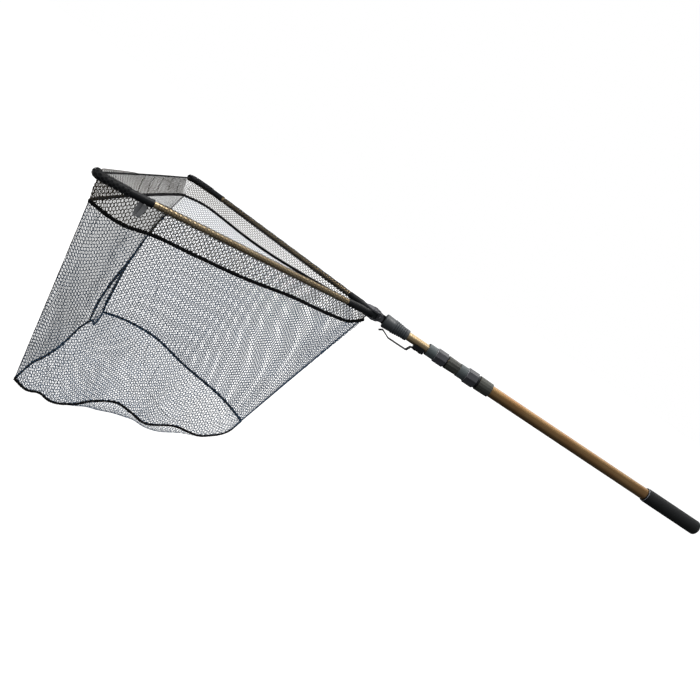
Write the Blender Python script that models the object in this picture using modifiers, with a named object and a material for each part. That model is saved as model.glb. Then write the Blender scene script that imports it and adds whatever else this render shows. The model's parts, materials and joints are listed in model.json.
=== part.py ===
"""Folding landing net: a three-section telescopic handle, a V head whose two arms fold, and a net bag.

Frame: +X runs along the handle to the butt, -X to the net's mouth, +Z up, and the bag hangs down.
The world origin is the middle of the hand grip. Lengths along the handle are stations: a station is
the distance from the arms' pivots, in the direction of the butt. Metres.
"""
import math

import bmesh
import bpy
from mathutils import Matrix, Vector

MM = 0.001
GAP = 0.3 * MM                      # left between pieces that touch

# Driving dimensions of the handle
HANDLE_LENGTH = 727 * MM            # from the arms' pivots to the butt, collapsed
GRIP_LENGTH = 122 * MM
MAIN_R, MIDDLE_R, UPPER_R = 11 * MM, 9.5 * MM, 8 * MM
WALL = 1 * MM
GRIP_R = 13.6 * MM

# Driving dimensions of the head
HALF_ANGLE = math.radians(30)       # between each arm and the handle's line
DROOP = math.radians(1.8)           # the head rests a little below the handle's line
PIVOT_Y = 12 * MM                   # the arms' pivots stand to either side of the middle
ARM_R = 4.75 * MM
ARM_LENGTH = 419 * MM               # from a pivot to the tip sleeve
SOCKET_DEPTH = 26 * MM              # how far the arm's tube goes into the tip sleeve
TIP_LENGTH = 88 * MM                # the tip sleeve, up to its elbow
TIP_TURN = math.radians(24)         # how far the tip sleeve curves inwards beyond its socket
TIP_R = 5.6 * MM
ELBOW_R = 11 * MM                   # bend of the elbow
CORD_R = 1.5 * MM

# Driving dimensions of the bag, in the head's frame
NET_THICK = 1.0 * MM
BAND_DEPTH_REAR, BAND_DEPTH_FRONT = 50 * MM, 40 * MM
BASE_REAR = Vector((-98, 0, -301)) * MM
BASE_FRONT = Vector((-443, 200, -344)) * MM
SEAM_R = 1.9 * MM

# Stations along the handle, from the head to the butt
FOLD_S = 12 * MM                    # the head's fold pin
COLLAR_S = (22 * MM, 72.6 * MM)     # ribbed lock collar
CLIP_S = (91 * MM, 113 * MM)        # belt clip's saddle
UPPER_CAP_S = (115 * MM, 132 * MM)
UPPER_NUT_S = (133.4 * MM, 154.2 * MM)
MIDDLE_FITTING_S = (157.2 * MM, 181.8 * MM)
LOWER_CAP_S = (182.2 * MM, 198.2 * MM)
LOWER_NUT_S = (199.6 * MM, 220.2 * MM)
LOWER_FITTING_S = (225.1 * MM, 251.9 * MM)
GRIP_S = (HANDLE_LENGTH - GRIP_LENGTH, HANDLE_LENGTH)

ROUND = 24                          # facets round a tube


# ---------------------------------------------------------------- scene, materials, small helpers

def clear_scene():
    for obj in list(bpy.data.objects):
        bpy.data.objects.remove(obj, do_unlink=True)


def make_collection(name):
    coll = bpy.data.collections.new(name)
    bpy.context.scene.collection.children.link(coll)
    return coll


def material(name, color, roughness, metallic=0.0):
    mat = bpy.data.materials.new(name)
    mat.use_nodes = True
    shader = mat.node_tree.nodes["Principled BSDF"]
    shader.inputs["Base Color"].default_value = (*color, 1.0)
    shader.inputs["Roughness"].default_value = roughness
    shader.inputs["Metallic"].default_value = metallic
    return mat


def empty(name, parent=None, location=(0, 0, 0), rotation=(0, 0, 0)):
    obj = bpy.data.objects.new(name, None)
    obj.empty_display_size = 0.03
    PARTS.objects.link(obj)
    obj.parent = parent
    obj.location = location
    obj.rotation_euler = rotation
    return obj


def place(obj, parent, mat=None, location=(0, 0, 0), rotation=(0, 0, 0)):
    obj.parent = parent
    obj.location = location
    obj.rotation_euler = rotation
    if mat is not None:
        obj.data.materials.clear()
        obj.data.materials.append(mat)
    return obj


def mesh_object(name, bm, collection=None):
    mesh = bpy.data.meshes.new(name)
    bm.to_mesh(mesh)
    bm.free()
    obj = bpy.data.objects.new(name, mesh)
    (collection or PARTS).objects.link(obj)
    return obj


def smooth(obj, angle=35):
    obj.data.shade_smooth()
    obj.data.set_sharp_from_angle(angle=math.radians(angle))


def cutter(obj):
    for coll in obj.users_collection:
        coll.objects.unlink(obj)
    CUTTERS.objects.link(obj)
    obj.hide_render = True
    obj.display_type = "WIRE"
    return obj


def cut(obj, tool, operation="DIFFERENCE"):
    mod = obj.modifiers.new(operation.title(), "BOOLEAN")
    mod.operation = operation
    mod.solver = "EXACT"
    mod.object = cutter(tool)


def bevel(obj, width, segments=2, angle=40):
    mod = obj.modifiers.new("Bevel", "BEVEL")
    mod.width = width
    mod.segments = segments
    mod.limit_method = "ANGLE"
    mod.angle_limit = math.radians(angle)


# ---------------------------------------------------------------- shape makers

def turned(name, profile, steps=ROUND, closed=True):
    """A profile of (station, radius) points, turned about the handle's axis.

    The points run down the outer side, butt end first; a closed profile goes back up the bore.
    """
    bm = bmesh.new()
    verts = [bm.verts.new((radius, 0, station)) for station, radius in profile]
    pairs = list(zip(verts, verts[1:])) + ([(verts[-1], verts[0])] if closed else [])
    for a, b in pairs:
        bm.edges.new((a, b))
    obj = mesh_object(name, bm)
    screw = obj.modifiers.new("Screw", "SCREW")
    screw.axis = "Z"
    screw.steps = steps
    screw.render_steps = steps
    screw.use_merge_vertices = True
    screw.merge_threshold = 0.00001
    screw.use_smooth_shade = True
    return obj


def on_handle(obj, parent, mat=None):
    """Turned pieces are drawn about local Z; this lays that axis along the handle."""
    return place(obj, parent, mat, rotation=(0, math.pi / 2, 0))


def pipe_profile(start, end, bore_r, outer_r, chamfer=0.0):
    if chamfer:
        return [(end - chamfer, outer_r), (start + chamfer, outer_r), (start, outer_r - chamfer),
                (start, bore_r), (end, bore_r), (end, outer_r - chamfer)]
    return [(end, outer_r), (start, outer_r), (start, bore_r), (end, bore_r)]


def pipe(name, parent, mat, start, end, bore_r, outer_r, chamfer=0.0, steps=ROUND):
    return on_handle(turned(name, pipe_profile(start, end, bore_r, outer_r, chamfer), steps), parent, mat)


def cylinder(name, radius, low, high, segments=ROUND):
    """An upright cylinder from height low to height high."""
    bm = bmesh.new()
    bmesh.ops.create_cone(bm, cap_ends=True, segments=segments, radius1=radius, radius2=radius,
                          depth=high - low)
    bmesh.ops.translate(bm, verts=bm.verts, vec=(0, 0, (low + high) / 2))
    return mesh_object(name, bm)


def box(name, low, high):
    low, high = Vector(low), Vector(high)
    bm = bmesh.new()
    bmesh.ops.create_cube(bm, size=1)
    bmesh.ops.scale(bm, verts=bm.verts, vec=high - low)
    bmesh.ops.translate(bm, verts=bm.verts, vec=(low + high) / 2)
    return mesh_object(name, bm)


def prism(name, outline, low, high):
    """A flat outline of (x, y) points made solid from height low to height high."""
    curve = bpy.data.curves.new(name, "CURVE")
    curve.dimensions = "2D"
    curve.fill_mode = "BOTH"
    curve.extrude = (high - low) / 2
    curve.render_resolution_u = 0
    spline = curve.splines.new("POLY")
    spline.points.add(len(outline) - 1)
    for point, (x, y) in zip(spline.points, outline):
        point.co = (x, y, 0, 1)
    spline.use_cyclic_u = True
    obj = bpy.data.objects.new(name, curve)
    PARTS.objects.link(obj)
    obj = baked(obj)
    obj.data.transform(Matrix.Translation((0, 0, (low + high) / 2)))
    return obj


def baked(obj):
    """The object's evaluated mesh in place of its modifiers, so that it can be cut again."""
    graph = bpy.context.evaluated_depsgraph_get()
    mesh = bpy.data.meshes.new_from_object(obj.evaluated_get(graph))
    bm = bmesh.new()
    bm.from_mesh(mesh)
    bmesh.ops.remove_doubles(bm, verts=bm.verts, dist=0.00001)
    bm.to_mesh(mesh)
    bm.free()
    new = bpy.data.objects.new(obj.name, mesh)
    PARTS.objects.link(new)
    new.matrix_world = obj.matrix_world
    name = obj.name
    bpy.data.objects.remove(obj, do_unlink=True)
    new.name = name
    return new


def wire(name, points, radius, cyclic=False, resolution=2):
    """A round bar along points, with filled ends."""
    curve = bpy.data.curves.new(name, "CURVE")
    curve.dimensions = "3D"
    curve.bevel_depth = radius
    curve.bevel_resolution = resolution
    curve.use_fill_caps = not cyclic
    curve.render_resolution_u = 0
    spline = curve.splines.new("POLY")
    spline.points.add(len(points) - 1)
    for point, place_ in zip(spline.points, points):
        point.co = (*place_, 1)
    spline.use_cyclic_u = cyclic
    spline.use_smooth = True
    obj = bpy.data.objects.new(name, curve)
    PARTS.objects.link(obj)
    return obj


def lerp(a, b, share):
    return a + (b - a) * share


def sheet(name, surface, columns, rows, thickness=NET_THICK):
    """A panel of netting: surface(u, v) gives its middle, and Solidify gives it thickness."""
    bm = bmesh.new()
    bmesh.ops.create_grid(bm, x_segments=columns, y_segments=rows, size=0.5)
    for vert in bm.verts:
        vert.co = surface(vert.co.x + 0.5, vert.co.y + 0.5)
    obj = mesh_object(name, bm)
    solid = obj.modifiers.new("Solidify", "SOLIDIFY")
    solid.thickness = thickness
    solid.offset = 0
    return obj


# ---------------------------------------------------------------- handle: the three sections

def lower_section(parent):
    """Main tube with its grip, butt plug and the fixed half of the lower twist lock."""
    start = LOWER_FITTING_S[0] + 1 * MM
    pipe("main_tube", parent, BRONZE_DARK, start, GRIP_S[1] - 12 * MM, MAIN_R - WALL, MAIN_R)
    pipe("butt_plug", parent, BLACK_PLASTIC, GRIP_S[1] - 32 * MM, GRIP_S[1] - 11 * MM,
         3 * MM, MAIN_R - WALL - GAP)
    grip_bore = MAIN_R + GAP
    front, back = GRIP_S[0] + 2.2 * MM, GRIP_S[1]
    nose, end_r = 3 * MM, 9 * MM
    dome = [(back - GRIP_R * 0.55 * (1 - math.sin(a)), end_r + (GRIP_R - end_r) * math.cos(a))
            for a in [math.radians(90 - 15 * i) for i in range(7)]]
    outer = [(back, 0)] + dome + [(front + nose, GRIP_R), (front, GRIP_R - 0.8 * MM)]
    bore = [(front, grip_bore), (back - 10 * MM, grip_bore), (back - 10 * MM, 0)]
    on_handle(turned("rubber_grip", outer + bore, closed=False), parent, RUBBER)
    pipe("grip_ring", parent, LIGHT_RING, GRIP_S[0], front - GAP, grip_bore, GRIP_R - 0.6 * MM, 0.4 * MM)
    faceted_sleeve("lower_lock_fitting", parent, GREY_PLASTIC, LOWER_FITTING_S, 13.4 * MM, 13.9 * MM,
                   MAIN_R + GAP, flats=16)
    pipe("lower_lock_neck", parent, BLACK_PLASTIC, LOWER_NUT_S[1] + GAP, LOWER_FITTING_S[0] - GAP,
         MIDDLE_R + 0.8 * MM, 12.3 * MM)
    split_collet("lower_collet", parent, LOWER_NUT_S, MIDDLE_R + GAP, MIDDLE_R + 1.9 * MM)


def faceted_sleeve(name, parent, mat, span, front_r, back_r, bore_r, flats):
    """A sleeve with lengthwise flats, a little wider towards the lock nut."""
    chamfer = 0.8 * MM
    profile = [(span[1], front_r - chamfer), (span[1] - chamfer, front_r), (span[0] + chamfer, back_r),
               (span[0], back_r - chamfer)]
    sleeve = turned(name, [(span[1], 0)] + profile + [(span[0], 0)], steps=flats, closed=False)
    sleeve.modifiers["Screw"].use_smooth_shade = False
    bore = turned(name + "_bore", [(span[1] + MM, 0), (span[1] + MM, bore_r), (span[0] - MM, bore_r),
                                   (span[0] - MM, 0)], closed=False)
    cut(sleeve, bore)
    on_handle(bore, parent)
    on_handle(sleeve, parent, mat)


def split_collet(name, parent, span, bore_r, outer_r):
    """The slit ring that the nut squeezes on to the sliding tube."""
    start, end = span[0] + 4 * MM, span[1] - 3 * MM
    ring = pipe(name, parent, WHITE_PLASTIC, start, end, bore_r, outer_r)
    slit = box(name + "_slit", (start - MM, -0.6 * MM, 0), (end + MM, 0.6 * MM, outer_r * 1.5))
    slit.parent = parent
    cut(ring, slit)


def lock_nut(prefix, parent, cap_span, nut_span, cap_r, nut_r, bore_r):
    """The turning half of a twist lock: a long cap, a thin light ring and a nut with eight flats."""
    pipe(prefix + "_lock_cap", parent, BLUE_GREY_PLASTIC, *cap_span, bore_r, cap_r, 0.7 * MM)
    pipe(prefix + "_lock_ring", parent, LIGHT_RING, cap_span[1] + GAP, nut_span[0] - GAP,
         bore_r, cap_r + 0.7 * MM, 0.2 * MM)
    hollow = bore_r + 2.3 * MM
    faceted_sleeve(prefix + "_lock_nut", parent, GREY_PLASTIC, nut_span, nut_r, nut_r, hollow, flats=8)


def middle_section(parent):
    """Middle tube, with its rear bushing inside the main tube and the fixed half of the upper lock."""
    tube_start = MIDDLE_FITTING_S[0] + 1 * MM
    rear = GRIP_S[0] + 40 * MM
    pipe("middle_tube", parent, BRONZE, tube_start, rear, MIDDLE_R - WALL, MIDDLE_R)
    pipe("middle_bushing", parent, WHITE_PLASTIC, rear + GAP, rear + 18 * MM,
         MIDDLE_R - WALL - 1.5 * MM, MAIN_R - WALL - 0.25 * MM, 0.5 * MM)
    faceted_sleeve("middle_lock_fitting", parent, OLIVE_PLASTIC, MIDDLE_FITTING_S, 11.8 * MM, 12.6 * MM,
                   MIDDLE_R + GAP, flats=12)
    pipe("middle_lock_neck", parent, BLACK_PLASTIC, UPPER_NUT_S[1] + GAP, MIDDLE_FITTING_S[0] - GAP,
         UPPER_R + 0.8 * MM, 10.8 * MM)
    split_collet("upper_collet", parent, UPPER_NUT_S, UPPER_R + GAP, UPPER_R + 1.9 * MM)


def upper_section(parent):
    """Upper tube, with its rear bushing, the head's socket and the belt clip's saddle."""
    tube_start, rear = COLLAR_S[0] + 8 * MM, GRIP_S[0] + 20 * MM
    pipe("upper_tube", parent, BRONZE, tube_start, rear, UPPER_R - WALL, UPPER_R)
    pipe("upper_bushing", parent, WHITE_PLASTIC, rear + GAP, rear + 16 * MM,
         UPPER_R - WALL - 1.5 * MM, MIDDLE_R - WALL - 0.25 * MM, 0.5 * MM)
    head_socket(parent, tube_start)
    pipe("spring_stop_ring", parent, BRIGHT_STEEL, 68 * MM, 70 * MM, UPPER_R + GAP, 9.6 * MM)
    clip_saddle(parent)


TONGUE_Y, TONGUE_R = 4.2 * MM, 7.3 * MM
FOLD_PIN_R = 2.4 * MM


def round_nosed(root):
    """Outline of a tongue or fork ear: a half circle round the fold pin, run back square to root."""
    away = -math.copysign(1, root)
    nose = [(away * TONGUE_R * math.sin(math.pi * i / 10), TONGUE_R * math.cos(math.pi * i / 10))
            for i in range(11)]
    return [(root, TONGUE_R)] + nose + [(root, -TONGUE_R)]


def head_socket(parent, tube_start):
    """Plug on the upper tube's end, with the flat tongue that the head folds on."""
    body_start, body_end, body_r = COLLAR_S[0] + 1 * MM, COLLAR_S[0] + 20 * MM, 9.4 * MM
    plug = turned("head_socket", [(body_end, 0), (body_end, body_r), (body_start, body_r), (body_start, 0)],
                  closed=False)
    bore = cylinder("head_socket_bore", UPPER_R + GAP, tube_start - GAP, body_end + 2 * MM)
    cut(plug, bore)
    place(bore, parent, rotation=(0, math.pi / 2, 0))
    tongue = prism("tongue", round_nosed(body_start + 2 * MM - FOLD_S), -TONGUE_Y, TONGUE_Y)
    cut(plug, tongue, "UNION")
    place(tongue, parent, location=(FOLD_S, 0, 0), rotation=(math.pi / 2, 0, 0))
    hole = cylinder("tongue_hole", FOLD_PIN_R + GAP, -2 * TONGUE_Y, 2 * TONGUE_Y)
    cut(plug, hole)
    place(hole, parent, location=(FOLD_S, 0, 0), rotation=(math.pi / 2, 0, 0))
    on_handle(plug, parent, BLACK_PLASTIC)


SADDLE_BOTTOM = -12.6 * MM
CLIP_WIDTH, CLIP_THICK = 12 * MM, 1.1 * MM


def clip_saddle(parent):
    """The block that hugs the tube's underside and holds the belt clip's foot with two rivets."""
    saddle = box("clip_saddle", (CLIP_S[0], -7.5 * MM, SADDLE_BOTTOM), (CLIP_S[1], 7.5 * MM, -1 * MM))
    place(saddle, parent, BLACK_PLASTIC)
    bevel(saddle, 1.2 * MM)
    seat = cylinder("clip_saddle_seat", UPPER_R + GAP, CLIP_S[0] - MM, CLIP_S[1] + MM)
    cut(saddle, seat)
    place(seat, parent, rotation=(0, math.pi / 2, 0))
    foot_top = SADDLE_BOTTOM - GAP
    foot = box("clip_foot", (CLIP_S[0] - 2 * MM, -CLIP_WIDTH / 2, foot_top - CLIP_THICK),
               (CLIP_S[1] - 1 * MM, CLIP_WIDTH / 2, foot_top))
    place(foot, parent, SPRING_STEEL)
    bevel(foot, 0.3 * MM)
    low = foot_top - CLIP_THICK - GAP
    for name, station in (("clip_rivet_front", CLIP_S[0] + 5 * MM), ("clip_rivet_rear", CLIP_S[1] - 6 * MM)):
        head = cylinder(name, 2.6 * MM, low - 1 * MM, low, segments=16)
        place(head, parent, BRIGHT_STEEL, location=(station, 0, 0))
        bevel(head, 0.4 * MM, segments=1)


def belt_clip(parent):
    """The strip of spring steel, from its bend at the saddle to the lip by the head.

    Its points are stations and heights relative to the bend.
    """
    line = [(-0.8, 0), (-3.2, -5.4), (-4.4, -7.6), (-6.4, -8.4), (-43, -8.4), (-45.2, -7.4), (-56.8, -2.2),
            (-59, -1.6), (-61, -2.6), (-65.5, -5.6)]
    bm = bmesh.new()
    near, far = ([bm.verts.new((x * MM, side * CLIP_WIDTH / 2, z * MM)) for x, z in line]
                 for side in (-1, 1))
    for i in range(len(line) - 1):
        bm.faces.new((near[i], far[i], far[i + 1], near[i + 1]))
    strip = mesh_object("belt_clip", bm)
    solid = strip.modifiers.new("Solidify", "SOLIDIFY")
    solid.thickness = CLIP_THICK
    solid.offset = 0
    place(strip, parent, SPRING_STEEL)


# ---------------------------------------------------------------- ribbed lock collar

RIBS = 6


def ribbed_collar(parent):
    """Tapered sleeve over the head joint: smooth in front, ribbed for the fingers behind."""
    start, end = COLLAR_S
    front_r, back_r = 13.4 * MM, 11.1 * MM
    rib_start, rib_pitch, groove = start + 19 * MM, 4.2 * MM, 0.9 * MM
    taper_end = rib_start + RIBS * rib_pitch

    def skin(station):
        share = min(1.0, max(0.0, (station - rib_start) / (taper_end - rib_start)))
        return lerp(front_r, back_r, share)

    outer = [(end, back_r - 1.1 * MM), (end - 0.6 * MM, back_r - 0.5 * MM)]
    for rib in reversed(range(RIBS)):
        s = rib_start + rib * rib_pitch
        outer += [(s + rib_pitch, skin(s + rib_pitch)), (s + 0.75 * rib_pitch, skin(s) - 0.1 * MM),
                  (s + 0.4 * rib_pitch, skin(s) - groove)]
    outer += [(rib_start, front_r), (start + 4 * MM, front_r), (start + 1.4 * MM, front_r - 1 * MM),
              (start, front_r - 2.6 * MM)]
    shoulder = (start + 21 * MM, start + 24 * MM)
    socket_bore, spring_bore, tube_bore = 9.8 * MM, 9.75 * MM, UPPER_R + GAP
    inner = [(start, socket_bore), (shoulder[0], socket_bore), (shoulder[0], tube_bore),
             (shoulder[1], tube_bore), (shoulder[1], spring_bore), (end, spring_bore)]
    on_handle(turned("ribbed_collar", outer + inner), parent, RIB_GREY)
    turns, wire_r, coil_r = 5, 0.4 * MM, 8.95 * MM
    low, high = shoulder[1] + wire_r + GAP, 68 * MM - wire_r - GAP
    steps, turn = turns * 10, math.tau / 10
    coil = [(lerp(low, high, i / steps), coil_r * math.cos(i * turn), coil_r * math.sin(i * turn))
            for i in range(steps + 1)]
    place(wire("collar_spring", coil, wire_r), parent, BRIGHT_STEEL)


# ---------------------------------------------------------------- head block and arms

PLATE = (6 * MM, 8.5 * MM)          # the two plates that hold the pivots, above and below the middle
KNUCKLE_HALF = PLATE[0] - GAP
EYE_R = 6.5 * MM
EAR_ROOT = 7.4 * MM                 # the fork's ears start just behind the knuckles' eyes
PIVOT_PIN_R = 2.3 * MM


def head_block(parent):
    """Two plates joined by a web, with a fork behind that straddles the socket's tongue."""
    top = PLATE[1]
    web = box("head_block", (-19 * MM, -4.8 * MM, -top), (2 * MM, 4.8 * MM, top))
    place(web, parent, GREY_PLASTIC)
    for side in (1, -1):
        low, high = sorted((side * PLATE[0], side * PLATE[1]))
        tag = "top" if side > 0 else "bottom"
        pad = plate(tag + "_plate", low, high)
        place(pad, parent)
        cut(web, pad, "UNION")
    for side in (1, -1):
        low, high = sorted((side * (TONGUE_Y + GAP), side * 9.6 * MM))
        tag = "near" if side < 0 else "far"
        ear = prism(tag + "_ear", round_nosed(EAR_ROOT - FOLD_S), low, high)
        place(ear, parent, location=(FOLD_S, 0, 0), rotation=(-math.pi / 2, 0, 0))
        cut(web, ear, "UNION")
        hole = cylinder(tag + "_pivot_hole", PIVOT_PIN_R + GAP, -2 * top, 2 * top)
        place(hole, parent, location=(0, side * PIVOT_Y, 0))
        cut(web, hole)
    hole = cylinder("fold_hole", FOLD_PIN_R + GAP, -15 * MM, 15 * MM)
    place(hole, parent, location=(FOLD_S, 0, 0), rotation=(math.pi / 2, 0, 0))
    cut(web, hole)
    pin = cylinder("fold_pin", FOLD_PIN_R, -11 * MM, 11 * MM, segments=20)
    place(pin, parent, BRIGHT_STEEL, location=(FOLD_S, 0, 0), rotation=(math.pi / 2, 0, 0))
    bevel(pin, 0.4 * MM, segments=1)
    for side, name in ((-1, "near_pivot_rivet"), (1, "far_pivot_rivet")):
        rivet(name, parent, side)


def plate(name, low, high):
    """A plate with its two front corners cut back and a notch behind for the tongue."""
    back = FOLD_S / MM - 1
    half = [(-19, 4.6), (-13, 15), (-6, 19.4), (6, 19.4), (back, 9.6), (back, 4.5), (2, 4.5)]
    outline = half + [(x, -y) for x, y in reversed(half)]
    return prism(name, [(x * MM, y * MM) for x, y in outline], low, high)


def rivet(name, parent, side):
    """A pivot rivet: a shank through the plates with a low head above and below."""
    head, shank_r, head_r = 1.2 * MM, PIVOT_PIN_R, 4 * MM
    start = PLATE[1] + GAP
    top = [(start + head, 0), (start + head, head_r - 0.8 * MM), (start + 0.4 * head, head_r),
           (start, head_r), (start, shank_r)]
    bottom = [(-height, radius) for height, radius in reversed(top)]
    obj = turned(name, top + bottom, steps=20, closed=False)
    place(obj, parent, BRIGHT_STEEL, location=(0, side * PIVOT_Y, 0))


def arm_path(t, side):
    """Centre line of an arm in the head's frame, t metres from its pivot.

    It is straight up to the end of the tip sleeve's socket, and the sleeve then curves slowly inwards.
    """
    straight = ARM_LENGTH + SOCKET_DEPTH
    along = min(t, straight)
    x, y, heading = -along * math.cos(HALF_ANGLE), PIVOT_Y + along * math.sin(HALF_ANGLE), HALF_ANGLE
    if t > straight:
        bend_r = (TIP_LENGTH - SOCKET_DEPTH) / TIP_TURN
        heading = HALF_ANGLE - (t - straight) / bend_r
        x -= bend_r * (math.sin(HALF_ANGLE) - math.sin(heading))
        y += bend_r * (math.cos(heading) - math.cos(HALF_ANGLE))
    return Vector((x, side * y, 0)), heading


def tip_path(side):
    """Centre line of the tip sleeve with its tight elbow, ending square to the front cord."""
    stops = [0, SOCKET_DEPTH] + [lerp(SOCKET_DEPTH, TIP_LENGTH, i / 5) for i in range(1, 6)]
    points = [arm_path(ARM_LENGTH + stop, side)[0] for stop in stops]
    end, heading = arm_path(ARM_LENGTH + TIP_LENGTH, side)
    turn = heading + math.pi / 2
    for i in range(1, 7):
        a = heading - turn * i / 6
        points.append(end + ELBOW_R * Vector((math.sin(a) - math.sin(heading),
                                              side * (math.cos(a) - math.cos(heading)), 0)))
    points.append(points[-1] + Vector((0, -side * 4 * MM, 0)))
    return points


def along_arm(obj, parent, side, mat=None):
    """Lays a piece drawn about local Z along the arm, whose pivot is the parent's origin."""
    return place(obj, parent, mat, rotation=(0, -math.pi / 2, side * -HALF_ANGLE))


def arm(prefix, parent, side):
    """One arm: the knuckle on its pivot, the bronze tube and the black tip sleeve."""
    knuckle_end, tube_start, tube_end = 60 * MM, 34 * MM, ARM_LENGTH + SOCKET_DEPTH - 2 * MM
    knuckle = turned(prefix + "_arm_knuckle",
                     [(knuckle_end, 0), (knuckle_end, 5.6 * MM), (knuckle_end - 1 * MM, 6 * MM),
                      (30 * MM, 6.6 * MM), (22 * MM, KNUCKLE_HALF), (0, KNUCKLE_HALF - 0.2 * MM), (0, 0)],
                     steps=20, closed=False)
    along_arm(knuckle, parent, side, BLACK_PLASTIC)
    eye = cylinder(prefix + "_knuckle_eye", EYE_R, -KNUCKLE_HALF, KNUCKLE_HALF)
    cut(knuckle, eye, "UNION")
    eye.parent = parent
    hole = cylinder(prefix + "_knuckle_hole", PIVOT_PIN_R + GAP, -2 * PLATE[1], 2 * PLATE[1], segments=16)
    cut(knuckle, hole)
    hole.parent = parent
    bore = cylinder(prefix + "_knuckle_bore", ARM_R + GAP, tube_start - GAP, knuckle_end + MM, segments=20)
    cut(knuckle, bore)
    along_arm(bore, parent, side)
    tube = turned(prefix + "_arm_tube", pipe_profile(tube_start, tube_end, ARM_R - WALL, ARM_R), steps=20)
    along_arm(tube, parent, side, BRONZE)
    pivot = Vector((0, side * PIVOT_Y, 0))
    line = [point - pivot for point in tip_path(side)]
    sleeve = baked(wire(prefix + "_tip_sleeve", line, TIP_R, resolution=3))
    place(sleeve, parent, BLACK_PLASTIC)
    smooth(sleeve, 50)
    socket = cylinder(prefix + "_tip_socket", ARM_R + GAP, ARM_LENGTH - MM, tube_end + GAP, segments=20)
    cut(sleeve, socket)
    along_arm(socket, parent, side)


def front_cord(parent):
    ends = [tip_path(side)[-1] for side in (-1, 1)]
    inset = Vector((0, GAP, 0))
    first, last = ends[0] + inset, ends[1] - inset
    bow = Vector((-2 * MM, 0, 0))
    points = [first.lerp(last, i / 12) + bow * math.sin(math.pi * i / 12) for i in range(13)]
    place(wire("front_cord", points, CORD_R), parent, CORD)


# ---------------------------------------------------------------- net bag

NET_TOP = -8.6 * MM                 # the band's upper edge hangs just under the arms
SEAM_CLEAR = SEAM_R + NET_THICK / 2 + 0.6 * MM


def band_line(w, side, inset=1.0):
    """The net's upper outline seen from above: w is 0 under the head block and 1 at the arm's tip."""
    stops = [Vector((-15 * MM, side * 4 * MM, 0)), arm_path(62 * MM, side)[0], arm_path(ARM_LENGTH, side)[0],
             arm_path(ARM_LENGTH + TIP_LENGTH - 10 * MM, side)[0]]
    lengths = [(b - a).length for a, b in zip(stops, stops[1:])]
    run = w * sum(lengths)
    for a, b, length in zip(stops, stops[1:], lengths):
        if run <= length or b is stops[-1]:
            point = a.lerp(b, run / length)
            break
        run -= length
    return Vector((point.x, point.y * inset, 0))


def seam_point(w, side):
    point = band_line(w, side, 0.95)
    point.z = -lerp(BAND_DEPTH_REAR, BAND_DEPTH_FRONT, w)
    return point


def base_point(w, side):
    rear = BASE_REAR + Vector((0, side * 4 * MM, 0))
    front = Vector((BASE_FRONT.x, side * BASE_FRONT.y, BASE_FRONT.z))
    return rear.lerp(front, w)


def span(top, bottom, gap_top=SEAM_CLEAR, gap_bottom=SEAM_CLEAR):
    """A panel surface between two edge lines, held back from each by a gap."""
    def surface(u, v):
        a, b = top(u), bottom(u)
        down = (b - a).normalized()
        return (a + down * gap_top).lerp(b - down * gap_bottom, 1 - v)
    return surface


def front_line(edge):
    """The straight edge across the mouth's front, between the two corners that edge(1, side) gives."""
    ahead, inset = Vector((-3 * MM, 0, 0)), 6 * MM

    def line(u):
        near, far = edge(1, -1), edge(1, 1)
        share = inset / (far - near).length
        return near.lerp(far, lerp(share, 1 - share, u)) + ahead
    return line


def top_edge(w, side):
    point = band_line(w, side)
    point.z = lerp(NET_TOP - 3.4 * MM, NET_TOP, min(1.0, w * 8))
    return point


def bag(parent):
    """Netting panels between two sewn seams, with a gathered cord of netting at each front corner."""
    for side, tag in ((-1, "near"), (1, "far")):
        def top(w):
            return top_edge(w, side)

        def seam(w):
            return seam_point(w, side)

        def base(w):
            return base_point(w, side)

        place(sheet(tag + "_band", span(top, seam, 0), 12, 2), parent, NET_BAND)
        place(sheet(tag + "_wall", span(seam, base), 12, 6), parent, NETTING)
    front_band = sheet("front_band", span(front_line(top_edge), front_line(seam_point), 0), 10, 2)
    place(front_band, parent, NET_BAND)
    front_wall = sheet("front_wall", span(front_line(seam_point), front_line(base_point)), 10, 6)
    place(front_wall, parent, NETTING)

    def floor(u, v):
        near, far = base_point(u, -1), base_point(u, 1)
        edge = min(0.45, (SEAM_CLEAR + 1 * MM) / (far - near).length)
        point = near.lerp(far, lerp(edge, 1 - edge, v))
        rear_clear, front_clear = Vector((-7 * MM, 0, 0)), Vector((1.5 * MM, 0, 0))
        return point + rear_clear.lerp(front_clear, u) + Vector((0, 0, -1 * MM))

    place(sheet("net_base", floor, 10, 6), parent, NETTING)
    rim = [w / 12 for w in range(13)]
    for name, edge in (("band_seam", seam_point), ("base_seam", base_point)):
        loop = [edge(w, -1) for w in rim] + [edge(w, 1) for w in reversed(rim)]
        place(wire(name, loop, SEAM_R, cyclic=True), parent, BINDING)
    for side, tag in ((-1, "near"), (1, "far")):
        top, bottom = seam_point(1, side), base_point(1, side)
        out = Vector((-2.2, side * 4.6, 0)) * MM
        drop = Vector((0, 0, -SEAM_R - 2.4 * MM))
        line = [(top + drop + out).lerp(bottom - drop + out, i / 6) for i in range(7)]
        place(wire(tag + "_corner_gather", line, 2.2 * MM), parent, BINDING)
    net_tab(parent)


def net_tab(parent):
    """The short tape loop sewn under the near tip sleeve."""
    top, _ = arm_path(ARM_LENGTH + 12 * MM, -1)
    low = Vector((-3.6 * MM, -3.4 * MM, 0))
    obj = box("net_tab", (-4.5 * MM, -0.7 * MM, -26 * MM), (4.5 * MM, 0.7 * MM, -7.2 * MM))
    place(obj, parent, BINDING, location=top + low, rotation=(0, 0, HALF_ANGLE))
    bevel(obj, 0.5 * MM)


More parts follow.
